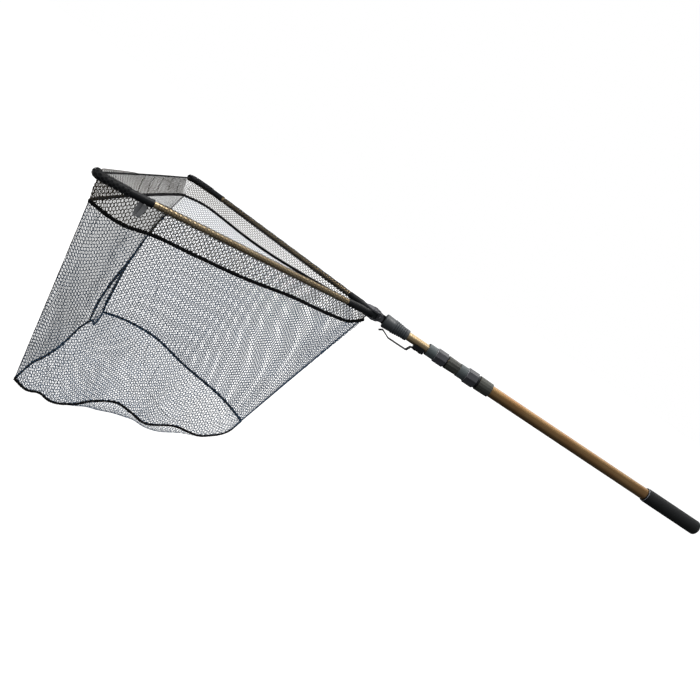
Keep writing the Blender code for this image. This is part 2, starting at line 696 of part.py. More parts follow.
def net_sleeve(prefix, parent, side):
    """The tube of netting that the arm is threaded through, from the knuckle to the tip sleeve."""
    sleeve = turned(prefix + "_net_sleeve",
                    pipe_profile(62 * MM, ARM_LENGTH - 5 * MM, ARM_R + 0.4 * MM, ARM_R + 1.0 * MM), steps=16)
    along_arm(sleeve, parent, side, NET_BAND)


# ---------------------------------------------------------------- the whole net

clear_scene()
PARTS = make_collection("landing_net")
CUTTERS = make_collection("cutters")

BRONZE = material("bronze_anodised", (0.36, 0.25, 0.11), 0.28, 1.0)
BRONZE_DARK = material("bronze_dark", (0.30, 0.17, 0.08), 0.30, 1.0)
GREY_PLASTIC = material("grey_plastic", (0.075, 0.078, 0.085), 0.42)
BLUE_GREY_PLASTIC = material("blue_grey_plastic", (0.10, 0.115, 0.125), 0.40)
OLIVE_PLASTIC = material("olive_grey_plastic", (0.055, 0.056, 0.050), 0.45)
BLACK_PLASTIC = material("black_plastic", (0.012, 0.013, 0.013), 0.40)
RIB_GREY = material("ribbed_grey", (0.050, 0.058, 0.060), 0.48)
LIGHT_RING = material("light_ring", (0.45, 0.46, 0.47), 0.35)
WHITE_PLASTIC = material("white_plastic", (0.70, 0.70, 0.68), 0.50)
RUBBER = material("grip_rubber", (0.012, 0.012, 0.013), 0.75)
SPRING_STEEL = material("black_spring_steel", (0.015, 0.017, 0.018), 0.35, 0.6)
BRIGHT_STEEL = material("bright_steel", (0.55, 0.55, 0.56), 0.30, 1.0)
CORD = material("front_cord", (0.02, 0.02, 0.02), 0.80)
NETTING = material("netting", (0.02, 0.02, 0.022), 0.85)
NET_BAND = material("net_band", (0.022, 0.022, 0.020), 0.85)
BINDING = material("binding", (0.010, 0.010, 0.010), 0.80)

HANDLE = empty("handle_axis", location=(GRIP_LENGTH / 2 - HANDLE_LENGTH, 0, 0))
lower_section(HANDLE)
LOWER_TURN = empty("lower_twist_axis", HANDLE)
lock_nut("lower", LOWER_TURN, LOWER_CAP_S, LOWER_NUT_S, 12.5 * MM, 14.9 * MM, MIDDLE_R + GAP)
MIDDLE_SLIDE = empty("middle_slide", HANDLE)
middle_section(MIDDLE_SLIDE)
UPPER_TURN = empty("upper_twist_axis", MIDDLE_SLIDE)
lock_nut("upper", UPPER_TURN, UPPER_CAP_S, UPPER_NUT_S, 11.6 * MM, 13.7 * MM, UPPER_R + GAP)
UPPER_SLIDE = empty("upper_slide", MIDDLE_SLIDE)
upper_section(UPPER_SLIDE)
COLLAR_SLIDE = empty("collar_slide", UPPER_SLIDE)
ribbed_collar(COLLAR_SLIDE)
CLIP_BEND = empty("clip_bend", UPPER_SLIDE,
                  location=(CLIP_S[0] - 2.6 * MM, 0, SADDLE_BOTTOM - GAP - CLIP_THICK / 2))
belt_clip(CLIP_BEND)
HEAD_FOLD = empty("head_fold_axis", UPPER_SLIDE, location=(FOLD_S, 0, 0), rotation=(0, -DROOP, 0))
HEAD = empty("head_frame", HEAD_FOLD, location=(-FOLD_S, 0, 0))
head_block(HEAD)
front_cord(HEAD)
bag(HEAD)
for SIDE, TAG in ((-1, "near"), (1, "far")):
    PIVOT = empty(TAG + "_arm_axis", HEAD, location=(0, SIDE * PIVOT_Y, 0))
    arm(TAG, PIVOT, SIDE)
    net_sleeve(TAG, PIVOT, SIDE)
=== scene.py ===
"""Looks of the folding landing net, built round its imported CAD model.

The bag is real netting: every thread of the honeycomb mesh is a thin prism, laid on curved panels that hang
between the arms, the front cord and the two bound seams. Handle, head and arms are turned, swept and
bevelled pieces that stand where their CAD nodes stand.

Frame: +X along the handle to the butt, -X to the mouth, +Z up. The head has its own frame, whose origin is
between the arms' pivots; bag shapes are drawn in it. Metres.
"""
import json
import math

import bmesh
import bpy
import numpy as np
from mathutils import Matrix, Vector


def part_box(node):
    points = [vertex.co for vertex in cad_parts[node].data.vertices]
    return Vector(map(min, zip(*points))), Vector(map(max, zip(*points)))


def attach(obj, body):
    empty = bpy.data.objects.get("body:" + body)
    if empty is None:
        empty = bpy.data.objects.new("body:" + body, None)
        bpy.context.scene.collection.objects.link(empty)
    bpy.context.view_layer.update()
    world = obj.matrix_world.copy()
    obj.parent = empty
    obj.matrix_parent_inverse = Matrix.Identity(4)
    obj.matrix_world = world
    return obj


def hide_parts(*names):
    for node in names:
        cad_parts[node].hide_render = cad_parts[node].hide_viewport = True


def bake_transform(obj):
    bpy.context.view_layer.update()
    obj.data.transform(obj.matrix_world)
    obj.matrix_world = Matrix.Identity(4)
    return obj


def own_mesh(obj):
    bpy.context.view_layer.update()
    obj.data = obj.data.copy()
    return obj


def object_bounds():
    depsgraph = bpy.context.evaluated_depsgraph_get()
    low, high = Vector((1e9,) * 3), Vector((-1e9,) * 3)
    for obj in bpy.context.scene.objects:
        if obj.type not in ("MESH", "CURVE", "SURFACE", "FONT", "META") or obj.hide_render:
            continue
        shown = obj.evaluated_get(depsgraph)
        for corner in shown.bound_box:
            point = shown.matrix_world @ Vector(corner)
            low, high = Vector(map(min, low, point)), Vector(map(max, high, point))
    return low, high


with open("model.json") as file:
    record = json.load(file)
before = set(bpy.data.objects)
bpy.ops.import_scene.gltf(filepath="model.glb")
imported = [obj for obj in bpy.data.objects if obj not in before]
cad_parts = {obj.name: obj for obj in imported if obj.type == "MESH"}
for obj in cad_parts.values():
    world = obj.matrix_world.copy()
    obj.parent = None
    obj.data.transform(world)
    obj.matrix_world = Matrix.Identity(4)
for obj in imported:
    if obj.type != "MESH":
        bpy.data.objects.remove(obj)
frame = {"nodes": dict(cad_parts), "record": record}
CAD_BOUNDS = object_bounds()

MM = 0.001
BEHAVIOUR = frame["record"]["behaviour"]
JOINTS = {joint["name"]: joint for joint in BEHAVIOUR["joints"]}
BODY = {node: body for body, nodes in BEHAVIOUR["bodies"].items() for node in nodes}
SLOT = {part["node"]: part["material_slot"] for part in frame["record"]["subparts"]}


# -------------------- the head's frame and the arms' lines

def joint_place(name):
    return np.array(JOINTS[name]["pos_m"], float)


HEAD_Z = np.array(JOINTS["far_arm_fold"]["axis"], float)
HEAD_Y = np.array([0.0, 1.0, 0.0])
HEAD_X = np.cross(HEAD_Y, HEAD_Z)
HEAD_ORIGIN = (joint_place("near_arm_fold") + joint_place("far_arm_fold")) / 2
PIVOT_Y = abs(joint_place("far_arm_fold")[1])


def head(points):
    """World places of points drawn in the head's frame."""
    return HEAD_ORIGIN + points[..., 0:1] * HEAD_X + points[..., 1:2] * HEAD_Y + points[..., 2:3] * HEAD_Z


def tube_ends(node):
    """The middles of a straight round node's two ends, the one nearer the head's origin first."""
    co = np.array([v.co for v in frame["nodes"][node].data.vertices], float)
    middle = co.mean(0)
    axis = np.linalg.svd(co - middle, full_matrices=False)[2][0]
    along = (co - middle) @ axis
    ends = [co[along < along.min() + MM].mean(0), co[along > along.max() - MM].mean(0)]
    return sorted(ends, key=lambda end: np.linalg.norm(end - HEAD_ORIGIN))


ARM_START, ARM_END = tube_ends("far_arm_tube")
ARM_RUN = (ARM_END - ARM_START) / np.linalg.norm(ARM_END - ARM_START)
HALF_ANGLE = math.atan2(ARM_RUN @ HEAD_Y, -ARM_RUN @ HEAD_X)
TUBE_GAP = 2 * MM  # the arm's tube stops this short of the sleeve's socket floor
STRAIGHT = float(np.linalg.norm(ARM_END - joint_place("far_arm_fold"))) + TUBE_GAP
ARM_R = 4.75 * MM
TUBE_START = 34 * MM  # from the pivot to the tube's end inside the knuckle

# The tip sleeve, as in the CAD: a socket for the tube, a slow curve inwards and a tight elbow
SOCKET_DEPTH, TIP_LENGTH, TIP_R = 26 * MM, 88 * MM, 5.6 * MM
TIP_TURN, ELBOW_R, ELBOW_STEPS = math.radians(24), 11 * MM, 10
TIP_TAIL = 4 * MM  # the straight end beyond the elbow
SLEEVE_R = 1.06 * TIP_R
SLEEVE_START = STRAIGHT - SOCKET_DEPTH
ARM_TOTAL = SLEEVE_START + TIP_LENGTH
SLEEVE_RIM = SLEEVE_START + 3 * MM  # the photo shows the sleeve from here
SLEEVE_END = ARM_TOTAL - 10 * MM  # and its elbow from here


def arm_point(t, side):
    """A point of the arm's centre line, t metres from its pivot, and the arm's heading there."""
    along = min(t, STRAIGHT)
    x, y, heading = -along * math.cos(HALF_ANGLE), PIVOT_Y + along * math.sin(HALF_ANGLE), HALF_ANGLE
    if t > STRAIGHT:
        bend_r = (TIP_LENGTH - SOCKET_DEPTH) / TIP_TURN
        heading = HALF_ANGLE - (t - STRAIGHT) / bend_r
        x -= bend_r * (math.sin(HALF_ANGLE) - math.sin(heading))
        y += bend_r * (math.cos(heading) - math.cos(HALF_ANGLE))
    return np.array([x, side * y, 0.0]), heading


def tip_line(side):
    """The tip sleeve's centre line with its elbow, ending square to the front cord."""
    points = [arm_point(t, side)[0] for t in np.linspace(SLEEVE_RIM, SLEEVE_END, 16)]
    end, heading = arm_point(SLEEVE_END, side)
    turn = heading + math.pi / 2
    for i in range(1, ELBOW_STEPS + 1):
        a = heading - turn * i / ELBOW_STEPS
        points.append(end + ELBOW_R * np.array([math.sin(a) - math.sin(heading),
                                                side * (math.cos(a) - math.cos(heading)), 0]))
    points.append(points[-1] + np.array([0, -side * TIP_TAIL, 0]))
    return np.array(points)


# -------------------- camera, light and floor

# The camera, solved from the handle, the arms and the bag in the photo
CAMERA_PLACE = Vector((-0.7817, -1.2023, 0.1797))
CAMERA_AZIMUTH, CAMERA_DOWN, CAMERA_ROLL = (math.radians(a) for a in (5.6, 12.1, 34.6))
CAMERA_LENS = 35.44

# Two soft lights aimed at the object's middle: each one's direction, width, power in W and colour
MIDDLE = Vector((-0.6, 0, -0.1))
LIGHT_AWAY = 2.6
LIGHTS = {"key": (Vector((-0.2, -0.15, 0.97)), 1.6, 62, (1.0, 0.98, 0.95)),
          "back": (Vector((0.27, 0.58, 0.77)), 2.4, 30, (1.0, 0.97, 0.93))}

# How bright the studio is, from straight down (0) to straight up (1), and its slightly cool tint
SKY_TONES = [(0.0, 0.05), (0.2, 0.10), (0.45, 0.34), (0.62, 0.36), (0.75, 0.24), (0.9, 0.3), (1.0, 0.8)]
SKY_TINT = (0.95, 0.98, 1.0)

FLOOR_BELOW = 35 * MM  # under the CAD bag, which leaves room for the base's sag
FLOOR_HALF = 12
FLOOR_TONE, FLOOR_GLOW = 0.30, 0.93  # the glow makes it nearly white


def link(obj):
    bpy.context.scene.collection.objects.link(obj)


def set_values(node, values):
    """Sets constants straight on a node's sockets."""
    for socket, value in values.items():
        node.inputs[socket].default_value = value


def add_camera():
    data = bpy.data.cameras.new("camera")
    data.lens = CAMERA_LENS
    camera = bpy.data.objects.new("camera", data)
    level = Matrix.Rotation(-CAMERA_AZIMUTH, 4, "Z") @ Matrix.Rotation(math.pi / 2 - CAMERA_DOWN, 4, "X")
    camera.matrix_world = Matrix.Translation(CAMERA_PLACE) @ level @ Matrix.Rotation(CAMERA_ROLL, 4, "Z")
    link(camera)
    bpy.context.scene.camera = camera


def add_light(name, direction, size, power, color):
    data = bpy.data.lights.new(name, "AREA")
    data.shape = "DISK"
    data.size = size
    data.energy = power
    data.color = color
    light = bpy.data.objects.new(name, data)
    light.location = MIDDLE + direction * LIGHT_AWAY
    light.rotation_euler = (MIDDLE - light.location).to_track_quat("-Z", "Y").to_euler()
    link(light)


def add_world():
    """White to the camera; to the object, a studio with a bright band behind the camera and a dark floor."""
    world = bpy.data.worlds.new("studio")
    world.use_nodes = True
    nodes, links = world.node_tree.nodes, world.node_tree.links
    nodes.clear()
    place = nodes.new("ShaderNodeTexCoord")
    split = nodes.new("ShaderNodeSeparateXYZ")
    rise = nodes.new("ShaderNodeMapRange")
    set_values(rise, {"From Min": -1.0})
    bands = nodes.new("ShaderNodeValToRGB")
    ramp = bands.color_ramp  # it comes with a stop at each end
    for stop, tone in SKY_TONES:
        ends = {0.0: ramp.elements[0], 1.0: ramp.elements[-1]}
        part = ends[stop] if stop in ends else ramp.elements.new(stop)
        part.color = (*(tone * tint for tint in SKY_TINT), 1)
    soft = nodes.new("ShaderNodeBackground")
    white = nodes.new("ShaderNodeBackground")
    path = nodes.new("ShaderNodeLightPath")
    mix = nodes.new("ShaderNodeMixShader")
    out = nodes.new("ShaderNodeOutputWorld")
    links.new(place.outputs["Generated"], split.inputs[0])
    links.new(split.outputs["Z"], rise.inputs["Value"])
    links.new(rise.outputs[0], bands.inputs[0])
    links.new(bands.outputs[0], soft.inputs["Color"])
    links.new(path.outputs["Is Camera Ray"], mix.inputs[0])
    links.new(soft.outputs[0], mix.inputs[1])
    links.new(white.outputs[0], mix.inputs[2])
    set_values(white, {"Color": (1, 1, 1, 1)})
    links.new(mix.outputs[0], out.inputs["Surface"])
    bpy.context.scene.world = world


def add_floor(height):
    """A plain pale floor, which is not a piece of the object."""
    bm = bmesh.new()
    bmesh.ops.create_grid(bm, x_segments=1, y_segments=1, size=FLOOR_HALF)
    mesh = bpy.data.meshes.new("floor")
    bm.to_mesh(mesh)
    bm.free()
    floor = bpy.data.objects.new("floor", mesh)
    floor.location = (0, 0, height)
    mat = bpy.data.materials.new("floor")
    mat.use_nodes = True
    set_values(mat.node_tree.nodes["Principled BSDF"],
               {"Base Color": (FLOOR_TONE, FLOOR_TONE, FLOOR_TONE, 1), "Roughness": 0.9,
                "Emission Color": (1, 1, 1, 1), "Emission Strength": FLOOR_GLOW})
    mesh.materials.append(mat)
    link(floor)
    floor.visible_diffuse = False
    floor.visible_glossy = False


add_camera()
add_world()
add_floor(CAD_BOUNDS[0][2] - FLOOR_BELOW)
for light_name, light in LIGHTS.items():
    add_light(light_name, *light)
bpy.context.scene.view_settings.view_transform = "Standard"


# -------------------- materials

COAT_ROUGHNESS = 0.35
PATCHES = 22.0  # the broad noise's scale, in 1/m
RAMP_FROM, RAMP_TO = 0.36, 0.64  # most of the noise lies between these values


def noise(tree, vector, scale):
    """A noise texture's value over this vector."""
    texture = tree.nodes.new("ShaderNodeTexNoise")
    set_values(texture, {"Scale": scale, "Detail": 3.0})
    tree.links.new(vector, texture.inputs["Vector"])
    return texture.outputs["Fac"]


def material(name, color, roughness, metallic=0.0, vary=0.18, grain=300, rough_vary=0.10,
             bump=0.15, bump_depth=0.05 * MM, tint=None, coat=0.0, gloss_level=0.5):
    """A surface whose colour, gloss and relief vary with noise; grain is its scale in 1/m, one or three.

    The colour runs from a darker tone of color to a lighter one of tint, or of color itself.
    """
    mat = bpy.data.materials.new(name)
    mat.use_nodes = True
    nodes, links = mat.node_tree.nodes, mat.node_tree.links
    shader = nodes["Principled BSDF"]
    set_values(shader, {"Metallic": metallic, "Coat Weight": coat, "Coat Roughness": COAT_ROUGHNESS,
                        "Specular IOR Level": gloss_level})
    place = nodes.new("ShaderNodeTexCoord")
    scale = nodes.new("ShaderNodeMapping")
    set_values(scale, {"Scale": [float(g) for g in np.broadcast_to(grain, 3)]})
    links.new(place.outputs["Object"], scale.inputs["Vector"])
    fine = noise(mat.node_tree, scale.outputs[0], 1.0)
    broad = noise(mat.node_tree, place.outputs["Object"], PATCHES)
    half = nodes.new("ShaderNodeMath")
    half.operation = "MULTIPLY"
    set_values(half, {1: 0.5})
    links.new(broad, half.inputs[0])
    both = nodes.new("ShaderNodeMath")
    both.operation = "MULTIPLY_ADD"
    set_values(both, {1: 0.5})
    links.new(fine, both.inputs[0])
    links.new(half.outputs[0], both.inputs[2])
    ramp = nodes.new("ShaderNodeValToRGB")
    dark = [c * (1 - vary) for c in color]
    light = [min(1.0, c * (1 + vary)) for c in (tint or color)]
    ramp.color_ramp.elements[0].position = RAMP_FROM
    ramp.color_ramp.elements[0].color = (*dark, 1)
    ramp.color_ramp.elements[1].position = RAMP_TO
    ramp.color_ramp.elements[1].color = (*light, 1)
    links.new(both.outputs[0], ramp.inputs[0])
    links.new(ramp.outputs[0], shader.inputs["Base Color"])
    gloss = nodes.new("ShaderNodeMapRange")
    set_values(gloss, {"From Min": 0.3, "From Max": 0.7, "To Min": max(0.02, roughness - rough_vary),
                       "To Max": min(1.0, roughness + rough_vary)})
    links.new(fine, gloss.inputs["Value"])
    links.new(gloss.outputs[0], shader.inputs["Roughness"])
    relief = nodes.new("ShaderNodeBump")
    set_values(relief, {"Strength": bump, "Distance": bump_depth})
    links.new(fine, relief.inputs["Height"])
    links.new(relief.outputs[0], shader.inputs["Normal"])
    return mat


LENGTHWISE = (6, 420, 420)  # grain drawn out along the handle
ANODISED = dict(metallic=1.0, grain=LENGTHWISE, rough_vary=0.05, bump=0.04, coat=0.4)
MOULDED = dict(rough_vary=0.04, bump=0.05)
YARN = dict(roughness=0.65, vary=0.35, grain=700, bump=0.4)

LOOKS = {
    "bronze_anodised": dict(color=(0.46, 0.33, 0.175), tint=(0.44, 0.35, 0.22), roughness=0.40, vary=0.22,
                            **ANODISED),
    "bronze_dark": dict(color=(0.37, 0.180, 0.062), tint=(0.30, 0.19, 0.08), roughness=0.44, vary=0.20,
                        **ANODISED),
    "grey_plastic": dict(color=(0.060, 0.061, 0.071), roughness=0.50, **MOULDED),
    "blue_grey_plastic": dict(color=(0.085, 0.102, 0.108), roughness=0.52, **MOULDED),
    "olive_plastic": dict(color=(0.046, 0.048, 0.041), roughness=0.54, vary=0.35, grain=LENGTHWISE,
                          **MOULDED),
    "black_plastic": dict(color=(0.008, 0.009, 0.011), roughness=0.50, gloss_level=0.22),
    "ribbed_grey": dict(color=(0.054, 0.061, 0.068), roughness=0.46, grain=900, bump=0.1),
    "light_ring": dict(color=(0.42, 0.43, 0.47), roughness=0.38, metallic=0.4),
    "white_plastic": dict(color=(0.68, 0.68, 0.65), roughness=0.50, vary=0.05),
    "grip_rubber": dict(color=(0.010, 0.011, 0.012), roughness=0.66, vary=0.25, grain=1400, bump=0.5,
                        bump_depth=0.1 * MM, gloss_level=0.3),
    "spring_steel": dict(color=(0.009, 0.012, 0.013), roughness=0.50, grain=(60, 900, 900), gloss_level=0.3),
    "bright_steel": dict(color=(0.12, 0.12, 0.13), roughness=0.50, metallic=1.0, vary=0.08, grain=900),
    "cord": dict(color=(0.010, 0.010, 0.011), roughness=0.80, vary=0.4, grain=(1600, 700, 1600), bump=0.8,
                 bump_depth=0.2 * MM, gloss_level=0.2),
    "netting": dict(color=(0.062, 0.114, 0.195), gloss_level=0.15, **YARN),
    "netting_shaded": dict(color=(0.060, 0.072, 0.078), gloss_level=0.15, **YARN),
    "net_band": dict(color=(0.066, 0.052, 0.034), gloss_level=0.2, **YARN),
    "stitching": dict(color=(0.032, 0.032, 0.034), roughness=0.80, vary=0.4, grain=1500, bump=0.6,
                      gloss_level=0.15),
    "tape": dict(color=(0.32, 0.32, 0.33), roughness=0.75, vary=0.3, grain=900, bump=0.5,
                 gloss_level=0.2),
    "binding": dict(color=(0.006, 0.006, 0.007), roughness=0.85, vary=0.5, grain=1500, bump=0.9,
                    bump_depth=0.25 * MM, gloss_level=0.15),
}
MATERIALS = {name: material(name, **look) for name, look in LOOKS.items()}


# -------------------- making and placing pieces

def mesh_object(name, verts, faces, look, sharp=30):
    """A piece of this material; edges sharper than this many degrees stay sharp."""
    mesh = bpy.data.meshes.new(name)
    mesh.from_pydata(verts.tolist(), [], faces)
    mesh.materials.append(MATERIALS[look])
    if sharp:
        mesh.shade_smooth()
        mesh.set_sharp_from_angle(angle=math.radians(sharp))
    obj = bpy.data.objects.new(name, mesh)
    link(obj)
    return obj


def face_outwards(obj):
    """Turns every face of a closed piece to its outside."""
    bm = bmesh.new()
    bm.from_mesh(obj.data)
    bmesh.ops.recalc_face_normals(bm, faces=bm.faces)
    bm.to_mesh(obj.data)
    bm.free()


def stand_in(obj, *nodes):
    """The piece shows in place of these nodes, and moves as the first of them."""
    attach(obj, BODY[nodes[0]])
    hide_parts(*nodes)


def bevel(obj, width, segments=3, angle=28):
    mod = obj.modifiers.new("Bevel", "BEVEL")
    mod.width = width
    mod.segments = segments
    mod.limit_method = "ANGLE"
    mod.angle_limit = math.radians(angle)
    mod.harden_normals = True
    return obj


def ring_faces(rings, steps, closed):
    """Faces of a skin of rings of steps points each; closed joins the last ring to the first."""
    r = np.arange(rings if closed else rings - 1)[:, None]
    s = np.arange(steps)[None]
    a, b = r * steps, (r + 1) % rings * steps
    return np.stack([a + s, b + s, b + (s + 1) % steps, a + (s + 1) % steps], -1).reshape(-1, 4).tolist()


def capped_faces(rings, steps):
    """Faces of a skin of rings whose two ends are closed with a cap."""
    last = rings * steps - 1
    caps = [list(range(steps)), list(range(last, last - steps, -1))]
    return ring_faces(rings, steps, closed=False) + caps


def turned(name, profile, look, steps=96, flats=0, bore=0.0, place=None, closed=True, sharp=30):
    """A profile of (x, radius) points turned about X. With flats, all that lies outside bore is faceted.

    An open profile starts and ends near the axis, and its two ends are closed with a cap.
    """
    x, r = np.array(profile, float).T
    angle = np.linspace(0, math.tau, steps, endpoint=False)
    ratio = np.ones(steps)
    if flats:
        half = math.pi / flats
        ratio = math.cos(half) / np.cos(angle % (2 * half) - half)
    spread = np.where(r[:, None] > bore + 0.2 * MM, ratio[None], 1.0) * r[:, None]
    verts = np.stack([np.repeat(x[:, None], steps, 1), -spread * np.sin(angle), -spread * np.cos(angle)], -1)
    faces = ring_faces(len(x), steps, closed=True) if closed else capped_faces(len(x), steps)
    obj = mesh_object(name, verts.reshape(-1, 3), faces, look, sharp)
    if place is not None:
        obj.data.transform(place)
    face_outwards(obj)
    return obj


def sleeve_profile(start, end, bore, start_r, end_r):
    """The outline of a tube, whose outside may be tapered."""
    return [(start, start_r), (end, end_r), (end, bore), (start, bore)]


def span(node):
    low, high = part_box(node)
    return low.x, high.x


def radius(node):
    low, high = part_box(node)
    return (high.y - low.y) / 2


def line_frames(line, up):
    """Two unit vectors square to a line at each of its points: sideways, and as near to up as can be."""
    tangent = np.gradient(line, axis=0)
    tangent /= np.linalg.norm(tangent, axis=1)[:, None]
    side = np.cross(tangent, up)
    side /= np.linalg.norm(side, axis=1)[:, None]
    return side, np.cross(side, tangent)


def lengths(line):
    """How far along a line each of its points lies."""
    return np.concatenate([[0], np.cumsum(np.linalg.norm(np.diff(line, axis=0), axis=1))])


def read_off(where, steps, values):
    """Vectors that are known at these steps along a line, read off at other places."""
    return np.stack([np.interp(where, steps, values[:, k]) for k in range(3)], -1)


def swept(name, line, look, across, upwards, up=(0, 0, 1), steps=12, sharp=40, swell=None):
    """A bar of oval section along a line.

    Its half widths are across and upwards, and swell scales both at each point of the line.
    """
    side, high = line_frames(line, up)
    angle = np.linspace(0, math.tau, steps, endpoint=False)
    size = (np.ones(len(line)) if swell is None else swell)[:, None, None]
    verts = (line[:, None] + size * across * np.cos(angle)[None, :, None] * side[:, None]
             + size * upwards * np.sin(angle)[None, :, None] * high[:, None])
    obj = mesh_object(name, verts.reshape(-1, 3), capped_faces(len(line), steps), look, sharp)
    face_outwards(obj)
    return obj


def refined(node, width, segments=3, angle=30):
    """The node's own shape as a clean mesh with rounded edges."""
    name = node + "_skin"
    mesh = frame["nodes"][node].data.copy()
    mesh.name = name
    bm = bmesh.new()
    bm.from_mesh(mesh)
    bmesh.ops.remove_doubles(bm, verts=bm.verts, dist=0.002 * MM)
    bmesh.ops.dissolve_limit(bm, angle_limit=math.radians(1), verts=bm.verts, edges=bm.edges)
    bm.to_mesh(mesh)
    bm.free()
    mesh.materials.clear()
    mesh.materials.append(MATERIALS[SLOT[node]])
    if mesh.has_custom_normals:
        mesh.normals_split_custom_set([(0, 0, 0)] * len(mesh.loops))
    mesh.shade_smooth()
    mesh.set_sharp_from_angle(angle=math.radians(angle))
    obj = bpy.data.objects.new(name, mesh)
    link(obj)
    bevel(obj, width, segments, angle)
    stand_in(obj, node)


# -------------------- handle

def handle_sleeve(node, taper=0.0, flats=0, edge=0.5 * MM, wall=1.2 * MM):
    """A round or faceted sleeve of the handle; taper is how much thinner its butt end is."""
    start, end = span(node)
    outer = radius(node)
    profile = sleeve_profile(start, end, outer - wall, outer, outer - taper)
    piece = turned(node + "_skin", profile, SLOT[node], flats=flats, bore=outer - wall)
    stand_in(bevel(piece, edge, angle=20 if flats > 12 else 28), node)


def grip():
    """The rubber grip: a slim lip in front, a plain barrel and a rounded end."""
    start, end = span("rubber_grip")
    full = radius("rubber_grip")
    wall = 2.4 * MM
    end_r, dome = full - 3.6 * MM, 4.2 * MM
    arc = [math.radians(a) for a in range(0, 91, 10)]
    profile = [(start + 0.3 * MM, full - wall), (start, full - 1.2 * MM),
               (start + 0.25 * MM, full - 0.5 * MM), (start + 0.8 * MM, full - 0.25 * MM),
               (start + 2.4 * MM, full)]
    profile += [(end - dome * (1 - math.sin(a)), end_r + (full - end_r) * math.cos(a)) for a in arc]
    profile += [(end, 2 * MM)]
    piece = turned("rubber_grip_skin", profile, "grip_rubber", closed=False)
    stand_in(piece, "rubber_grip")


def grip_ring():
    """The dark flange in front of the grip, with a thin light rim against the rubber."""
    start, end = span("grip_ring")
    full, bore = radius("grip_ring"), radius("main_tube") + 0.2 * MM
    rim = end - 0.75 * MM
    flange = turned("grip_ring_flange", sleeve_profile(start, rim, bore, full - 0.9 * MM, full - 0.5 * MM),
                    "black_plastic")
    stand_in(bevel(flange, 0.3 * MM), "grip_ring")
    light = turned("grip_ring_rim", sleeve_profile(rim, end, bore, full + 0.1 * MM, full + 0.1 * MM),
                   "light_ring")
    stand_in(bevel(light, 0.2 * MM), "grip_ring")


def handle():
    for node in ("main_tube", "middle_tube", "upper_tube"):
        handle_sleeve(node, edge=0.2 * MM, wall=1 * MM)
    grip()
    grip_ring()
    handle_sleeve("lower_lock_fitting", taper=0.5 * MM, flats=16, edge=0.6 * MM)
    handle_sleeve("middle_lock_fitting", taper=0.8 * MM, flats=12, edge=0.6 * MM)
    for prefix in ("lower", "upper"):
        handle_sleeve(prefix + "_lock_nut", flats=8, edge=0.8 * MM, wall=2 * MM)
        handle_sleeve(prefix + "_lock_cap", edge=0.9 * MM)
        handle_sleeve(prefix + "_lock_ring", edge=0.25 * MM)
    for prefix in ("lower", "middle"):
        handle_sleeve(prefix + "_lock_neck", edge=0.2 * MM)
    for node, width in (("clip_saddle", 0.5), ("clip_foot", 0.2), ("clip_rivet_front", 0.3),
                        ("clip_rivet_rear", 0.3), ("head_socket", 0.4)):
        refined(node, width * MM)


RIBS, RIB_PITCH, RIB_GROOVE, RIB_STEPS = 6, 4.2 * MM, 1.3 * MM, 10
COLLAR_SMOOTH = 19 * MM  # its plain front, before the ribs
COLLAR_TAPER, COLLAR_BORE = 2.9 * MM, 9.3 * MM


def ribbed_collar():
    """The tapered collar: a smooth front, and rounded ribs with narrow grooves behind."""
    start, end = span("ribbed_collar")
    front_r = radius("ribbed_collar")
    back_r = front_r - COLLAR_TAPER
    rib_start = start + COLLAR_SMOOTH
    taper_end = rib_start + RIBS * RIB_PITCH
    shoulder = [math.radians(a) for a in range(90, -1, -15)]
    profile = [(start, front_r - 3.0 * MM)]
    profile += [(start + 2.8 * MM * (1 - math.sin(a)), front_r - 2.6 * MM * (1 - math.cos(a)))
                for a in shoulder]
    for i in range(RIBS * RIB_STEPS + 1):
        share = i / (RIBS * RIB_STEPS)
        skin = front_r + (back_r - front_r) * share
        wave = abs(math.sin(math.pi * (i / RIB_STEPS)))
        profile.append((rib_start + share * (taper_end - rib_start), skin - RIB_GROOVE * (1 - wave)))
    profile += [(taper_end + 0.4 * MM, back_r), (end - 0.5 * MM, back_r - 0.3 * MM), (end, back_r - 1.0 * MM)]
    profile += [(end, COLLAR_BORE), (start, COLLAR_BORE)]
    piece = turned("ribbed_collar_skin", profile, "ribbed_grey", sharp=50)
    stand_in(piece, "ribbed_collar")


SPRING_TURNS, SPRING_STEPS, SPRING_WIRE = 5, 24, 0.4 * MM


def collar_spring():
    """The collar's coil spring, drawn at rest; the real one closes up against its stop ring as the collar is
    drawn back.
    """
    low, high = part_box("collar_spring")
    reach = radius("collar_spring") - SPRING_WIRE
    angle = np.linspace(0, SPRING_TURNS * math.tau, SPRING_TURNS * SPRING_STEPS)
    along = np.linspace(low.x + SPRING_WIRE, high.x - SPRING_WIRE, len(angle))
    line = np.stack([along, reach * np.sin(angle), reach * np.cos(angle)], 1)
    coil = swept("collar_spring_coil", line, SLOT["collar_spring"], SPRING_WIRE, SPRING_WIRE, up=(1, 0, 0),
                 steps=8)
    stand_in(coil, "collar_spring")
    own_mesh(coil)


CLIP_W, CLIP_T = 12 * MM, 1.4 * MM
CLIP_ROOT = 1.7  # how much thicker the strip is where it leaves the saddle
CLIP_LINE = [(5, 1.6), (0.4, 1.0), (-0.8, 0.2), (-3.2, -5.4), (-4.4, -7.6), (-6.4, -8.4), (-24, -8.5),
             (-43, -8.4), (-45.2, -7.4), (-51, -4.8), (-56.8, -2.2), (-59, -1.6), (-61, -2.6), (-65.5, -5.6)]


